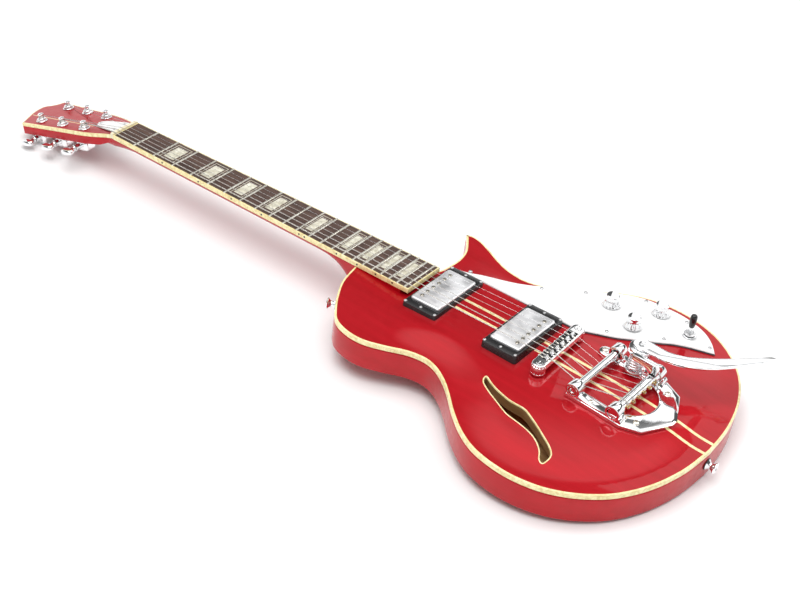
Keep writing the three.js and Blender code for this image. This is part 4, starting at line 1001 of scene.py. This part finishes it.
def make_vibrato():
    shoe = sheet(horseshoe_loop(), above_top(PLATE_TOP), above_top(0.3), cell=6)
    ear = sheet(rounded_rectangle(15, 18, 7, 6, (RAIL_X, -43)), above_top(4.0), above_top(0.35), cell=6)
    crisp("vibrato_plate", shoe, bevel=0.9, replaces="vibrato_base")
    crisp("vibrato_ear", ear, bevel=0.8)
    for side, name in ((-1, "bass"), (1, "treble")):
        inner, outer = side * RAIL_X - RAIL_HALF, side * RAIL_X + RAIL_HALF
        rail = rings([cross_section(x, RAIL_PROFILE) for x in (inner + 0.6, outer - 0.6)])
        crisp(f"vibrato_rail_{name}", rail, bevel=1.1)
        barrel = lathe([(5.9, inner), (7.6, inner), (8.3, inner + 0.4), (8.5, inner + 1), (8.5, outer - 1),
                        (8.3, outer - 0.4), (7.6, outer), (5.9, outer), (5.9, inner)], 48)
        for where, y in (("front", ROLLER_Y), ("rear", SHAFT_Y)):
            crisp(f"vibrato_barrel_{where}_{name}", placed(barrel, at(0, y, AXLE_Z) @ TO_X))
        cap = lathe([(2.9, 0), (5.7, 0), (5.8, 0.6), (5.2, 1.2), (2.9, 1.3), (2.9, 0)])
        end = at(outer, ROLLER_Y, AXLE_Z) @ TO_X if side > 0 else at(inner, ROLLER_Y, AXLE_Z) @ TO_MINUS_X
        crisp(f"vibrato_cap_{name}", placed(cap, end @ at(0, 0, -1.2)), NICKEL, slot="chrome")
    cup = lathe([(0, 49), (11.5, 49), (11.5, 51), (11.1, 51.7), (9.6, 51.7), (9.4, 51.2), (0, 51.2)], 48)
    crisp("vibrato_cup", placed(joined(cup, disc(8, 44, 49.2)), at(*SPRING_XY)))
    plate_screws = screws_at(3.4, 2.0, [on_top(x, y, PLATE_TOP)
                                        for x, y in ((-31, -124), (31, -124), (41, -40))])
    crisp("vibrato_screws", joined(plate_screws, screws_at(2.6, 1.6, [(-41, -75, 50.4)])), NICKEL)
    end = RAIL_X - 6.3
    roller = lathe([(0, -end), (4.1, -end), (4.5, -end + 0.5), (4.5, end - 0.5), (4.1, end), (0, end)])
    crisp("roller_bar", placed(joined(roller, disc(2.5, -46, 46, 0.3, 24)), at(0, ROLLER_Y, AXLE_Z) @ TO_X),
          body="tension_roller", replaces="tension_roller")
    make_shaft()
    make_spring()
    make_arm()


def make_spring():
    low, high, steps, coils = 53.2, 64.8, 160, 4
    x, y = SPRING_XY
    path = []
    for t in [k / steps for k in range(steps + 1)]:
        radius, turn = 8.6 - 2.0 * t, tau * coils * t
        path.append((x + radius * cos(turn), y + radius * sin(turn), low + (high - low) * t))
    spring = piece("spring_coil", tube(path, 1.05, 12), CHROME, replaces="vibrato_spring")
    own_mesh(spring)


def make_shaft():
    bar = lathe([(0, -46), (5.1, -46), (5.5, -45.5), (5.5, 45.5), (5.1, 46), (0, 46)], 48)
    collar = lathe([(5.4, 28.6), (6.6, 28.6), (7, 29), (7, 34.2), (6.6, 34.6), (5.4, 34.6), (5.4, 28.6)], 48)
    pin = lathe([(0, 0), (1.1, 0), (1.1, 8), (0.7, 8.5), (0, 8.5)], 16)
    ball = lathe([(1.15, -0.9), (2.1, -0.9), (2.4, -0.5), (1.9, 0), (2.4, 0.5), (2.1, 0.9), (1.15, 0.9),
                  (1.15, -0.9)], 24)
    columns = [string_x(string, STRING_SPAN_AT_BRIDGE) for string in range(6)]
    to_tail = Matrix.Rotation(pi / 2, 4, "X")
    shaft = {"body": "string_shaft"}
    crisp("shaft_bar", placed(joined(bar, collar), at(0, SHAFT_Y, AXLE_Z) @ TO_X), replaces="string_shaft",
          **shaft)
    piece("shaft_pins", copies(pin, [at(x, SHAFT_Y, AXLE_Z) @ to_tail for x in columns]), NICKEL,
          slot="chrome", **shaft)
    piece("ball_ends", copies(ball, [at(x, SHAFT_Y - 6.9, AXLE_Z) @ TO_Y for x in columns]), BRASS, **shaft)
    side = outline((-106, 61), [[(-108, 66), (-104, 73.5)], [(-77, 73.5)], [(-77, 66.3)],
                                [(-90, 66), (-97, 62), (-100, 58)]], 6)
    crisp("bracket_web", rings([cross_section(x, side) for x in (28.6, 34.6)]), bevel=0.7, **shaft)
    seat = lathe([(0, 66.3), (12.2, 66.3), (13, 67), (13, 72.4), (12.7, 73.2), (12, 73.5), (0, 73.5)], 56)
    crisp("bracket_seat", placed(seat, at(*ARM_PIVOT)), **shaft)


def make_arm():
    crisp("arm_blade", slab(ARM_LOOP, 73.8, 76.8, 0.8, 3), body="vibrato_arm", replaces="vibrato_arm")
    boss = lathe([(0, 73.8), (9.2, 73.8), (9.5, 74.2), (9.5, 76.5), (9.1, 76.85), (0, 76.85)], 48)
    nut = slab(polygon(4.0, 6), 76.8, 78.3, 0.3, 2)
    dome = lathe([(0, 78.2), (2.4, 78.2), (2.2, 78.6), (0, 78.78)], 24)
    crisp("arm_pivot", placed(joined(boss, nut, dome), at(*ARM_PIVOT)), body="vibrato_arm")


# ---- Strings ----
def make_string(index, x_post, y_post, side):
    """A wire from its post over the nut and the saddle, under the roller, and over the shaft to its pin."""
    radius = STRING_RADII[index]
    x_nut, x = string_x(index, STRING_SPAN_AT_NUT), string_x(index, STRING_SPAN_AT_BRIDGE)
    corners = [HEAD @ Vector((x_post - side * (POST_RADIUS + radius), y_post, WRAP_Z)),
               NECK @ Vector((x_nut, SCALE_LENGTH + NUT_LENGTH - 1, STRING_AT_NUT_Z)),
               NECK @ Vector((x_nut, SCALE_LENGTH, STRING_AT_NUT_Z)),
               Vector((x, BRIDGE_Y + x * tan(BRIDGE_SLANT), STRING_AT_BRIDGE_Z)),
               Vector((x, ROLLER_Y, AXLE_Z - 5.0 - radius))]
    corners += [Vector((x, SHAFT_Y + dy, AXLE_Z + dz)) for dy, dz in (
        (1, 6.0 + radius), (-3.4, 5.1 + radius), (-6.0, 2.4 + radius), (-7.0, 0.4))]
    path = corners[:1]
    for a, b, c in zip(corners, corners[1:], corners[2:]):
        reach = min(1.2, (b - a).length / 3, (c - b).length / 3)
        before, after = b + (a - b).normalized() * reach, b + (c - b).normalized() * reach
        path += [before, (before + after) / 4 + b / 2, after]
    path.append(corners[-1])
    piece(f"string_wire_{index + 1}", tube(path, radius), WIRES[index], replaces=f"string_{index + 1}",
          angle=60)


# ---- Floor, lights and camera ----
def make_stage():
    """A plane that touches the tail end of the body and the headstock, on which the guitar lies."""
    low, high = Vector(FLOOR_AT_TAIL) * MM, Vector(FLOOR_AT_HEAD) * MM
    reach, gap = 14, Vector((0, 0, 0.0004))
    long, wide = (high - low).normalized() * reach, Vector((reach, 0, 0))
    mesh = bpy.data.meshes.new("floor")
    mesh.from_pydata([low + wide * x + long * y - gap for x, y in ((-1, -1), (1, -1), (1, 1), (-1, 1))], [],
                     [[0, 1, 2, 3]])
    look = Look("floor_paper")
    look.colours(look.noise(3), [(0.3, (0.93, 0.93, 0.93)), (0.7, (0.96, 0.96, 0.96))])
    look.roughness(look.noise(40), 0.6, 0.75)
    mesh.materials.append(look.material)
    linked("floor", mesh)


def area_light(name, place, aim, size, power):
    data = bpy.data.lights.new(name, "AREA")
    data.shape = "RECTANGLE"
    data.size, data.size_y = size
    data.energy = power
    light = linked(name, data)
    light.location = place
    light.rotation_euler = (Vector(aim) - Vector(place)).to_track_quat("-Z", "Y").to_euler()


def make_lights():
    """A studio that is bright above and below and dark round the sides, with three soft boxes."""
    world = bpy.data.worlds.new("studio")
    world.use_nodes = True
    nodes, links = world.node_tree.nodes, world.node_tree.links
    direction = nodes.new("ShaderNodeTexCoord")
    height = nodes.new("ShaderNodeSeparateXYZ")
    links.new(direction.outputs["Generated"], height.inputs[0])
    ramp = colour_ramp(nodes, [(position, (value,) * 3) for position, value in (
        (0.0, 0.75), (0.14, 0.95), (0.3, 0.95), (0.4, 0.08), (0.68, 0.1), (0.78, 1.0), (0.9, 1.0),
        (1.0, 0.75))])
    ramp.color_ramp.interpolation = "EASE"
    links.new(height.outputs["Z"], ramp.inputs["Fac"])
    links.new(ramp.outputs["Color"], nodes["Background"].inputs["Color"])
    nodes["Background"].inputs["Strength"].default_value = 1.15
    bpy.context.scene.world = world
    bpy.context.scene.view_settings.view_transform = "Standard"
    area_light("key", (-0.5, 0.5, 2.6), (0, 0.2, 0), (2.6, 2.2), 50)
    area_light("fill", (1.6, -0.8, 2.0), (0, 0, 0), (1.2, 1.2), 14)
    area_light("softbox", (3.05, 0.75, 2.2), (0.1, -0.1, 0.05), (1.3, 1.3), 6)


def make_camera():
    data = bpy.data.cameras.new("camera")
    data.sensor_width = 36
    data.lens = 76.5
    data.clip_end = 60
    camera = linked("camera", data)
    right = Vector((0.61635274, -0.77928122, 0.11326995))
    up = Vector((0.42643965, 0.45122704, 0.78392817))
    back = Vector((-0.66201097, -0.43487348, 0.61043143))
    matrix = Matrix((right, up, back)).transposed().to_4x4()
    matrix.translation = (-1.25033, -0.62422, 1.15516)
    camera.matrix_world = matrix
    bpy.context.scene.camera = camera


def finish_cad_nodes():
    """The model's own solids that stay keep their shape and take a better material."""
    for node in ("truss_rod", "control_plate"):
        for slot in bpy.data.objects[node].material_slots:
            slot.material = STEEL.material


make_camera()
make_stage()
make_lights()
make_body()
make_neck()
make_fretboard()
make_nut()
for tuner, tuner_place in enumerate(tuner_places(), 1):
    make_tuner(tuner, *tuner_place)
make_pickup("neck", NECK_PICKUP_Y, ring_top=-4.8, cover_top=-2.0, screw_side=1)
make_pickup("bridge", BRIDGE_PICKUP_Y, ring_top=-3.3, cover_top=-1.2, screw_side=-1)
make_pickguard()
for knob, knob_centre in enumerate(KNOB_CENTRES, 1):
    make_knob(knob, *knob_centre)
make_switch()
make_jack()
strap_button("upper_button", -75, 228.5, (-23, 41, 0), "strap_button_upper")
strap_button("tail_button", 0, -196, (0, -1, 0), "strap_button_tail")
make_bridge()
make_vibrato()
for string_index, post in enumerate(tuner_places()):
    make_string(string_index, *post)
finish_cad_nodes()
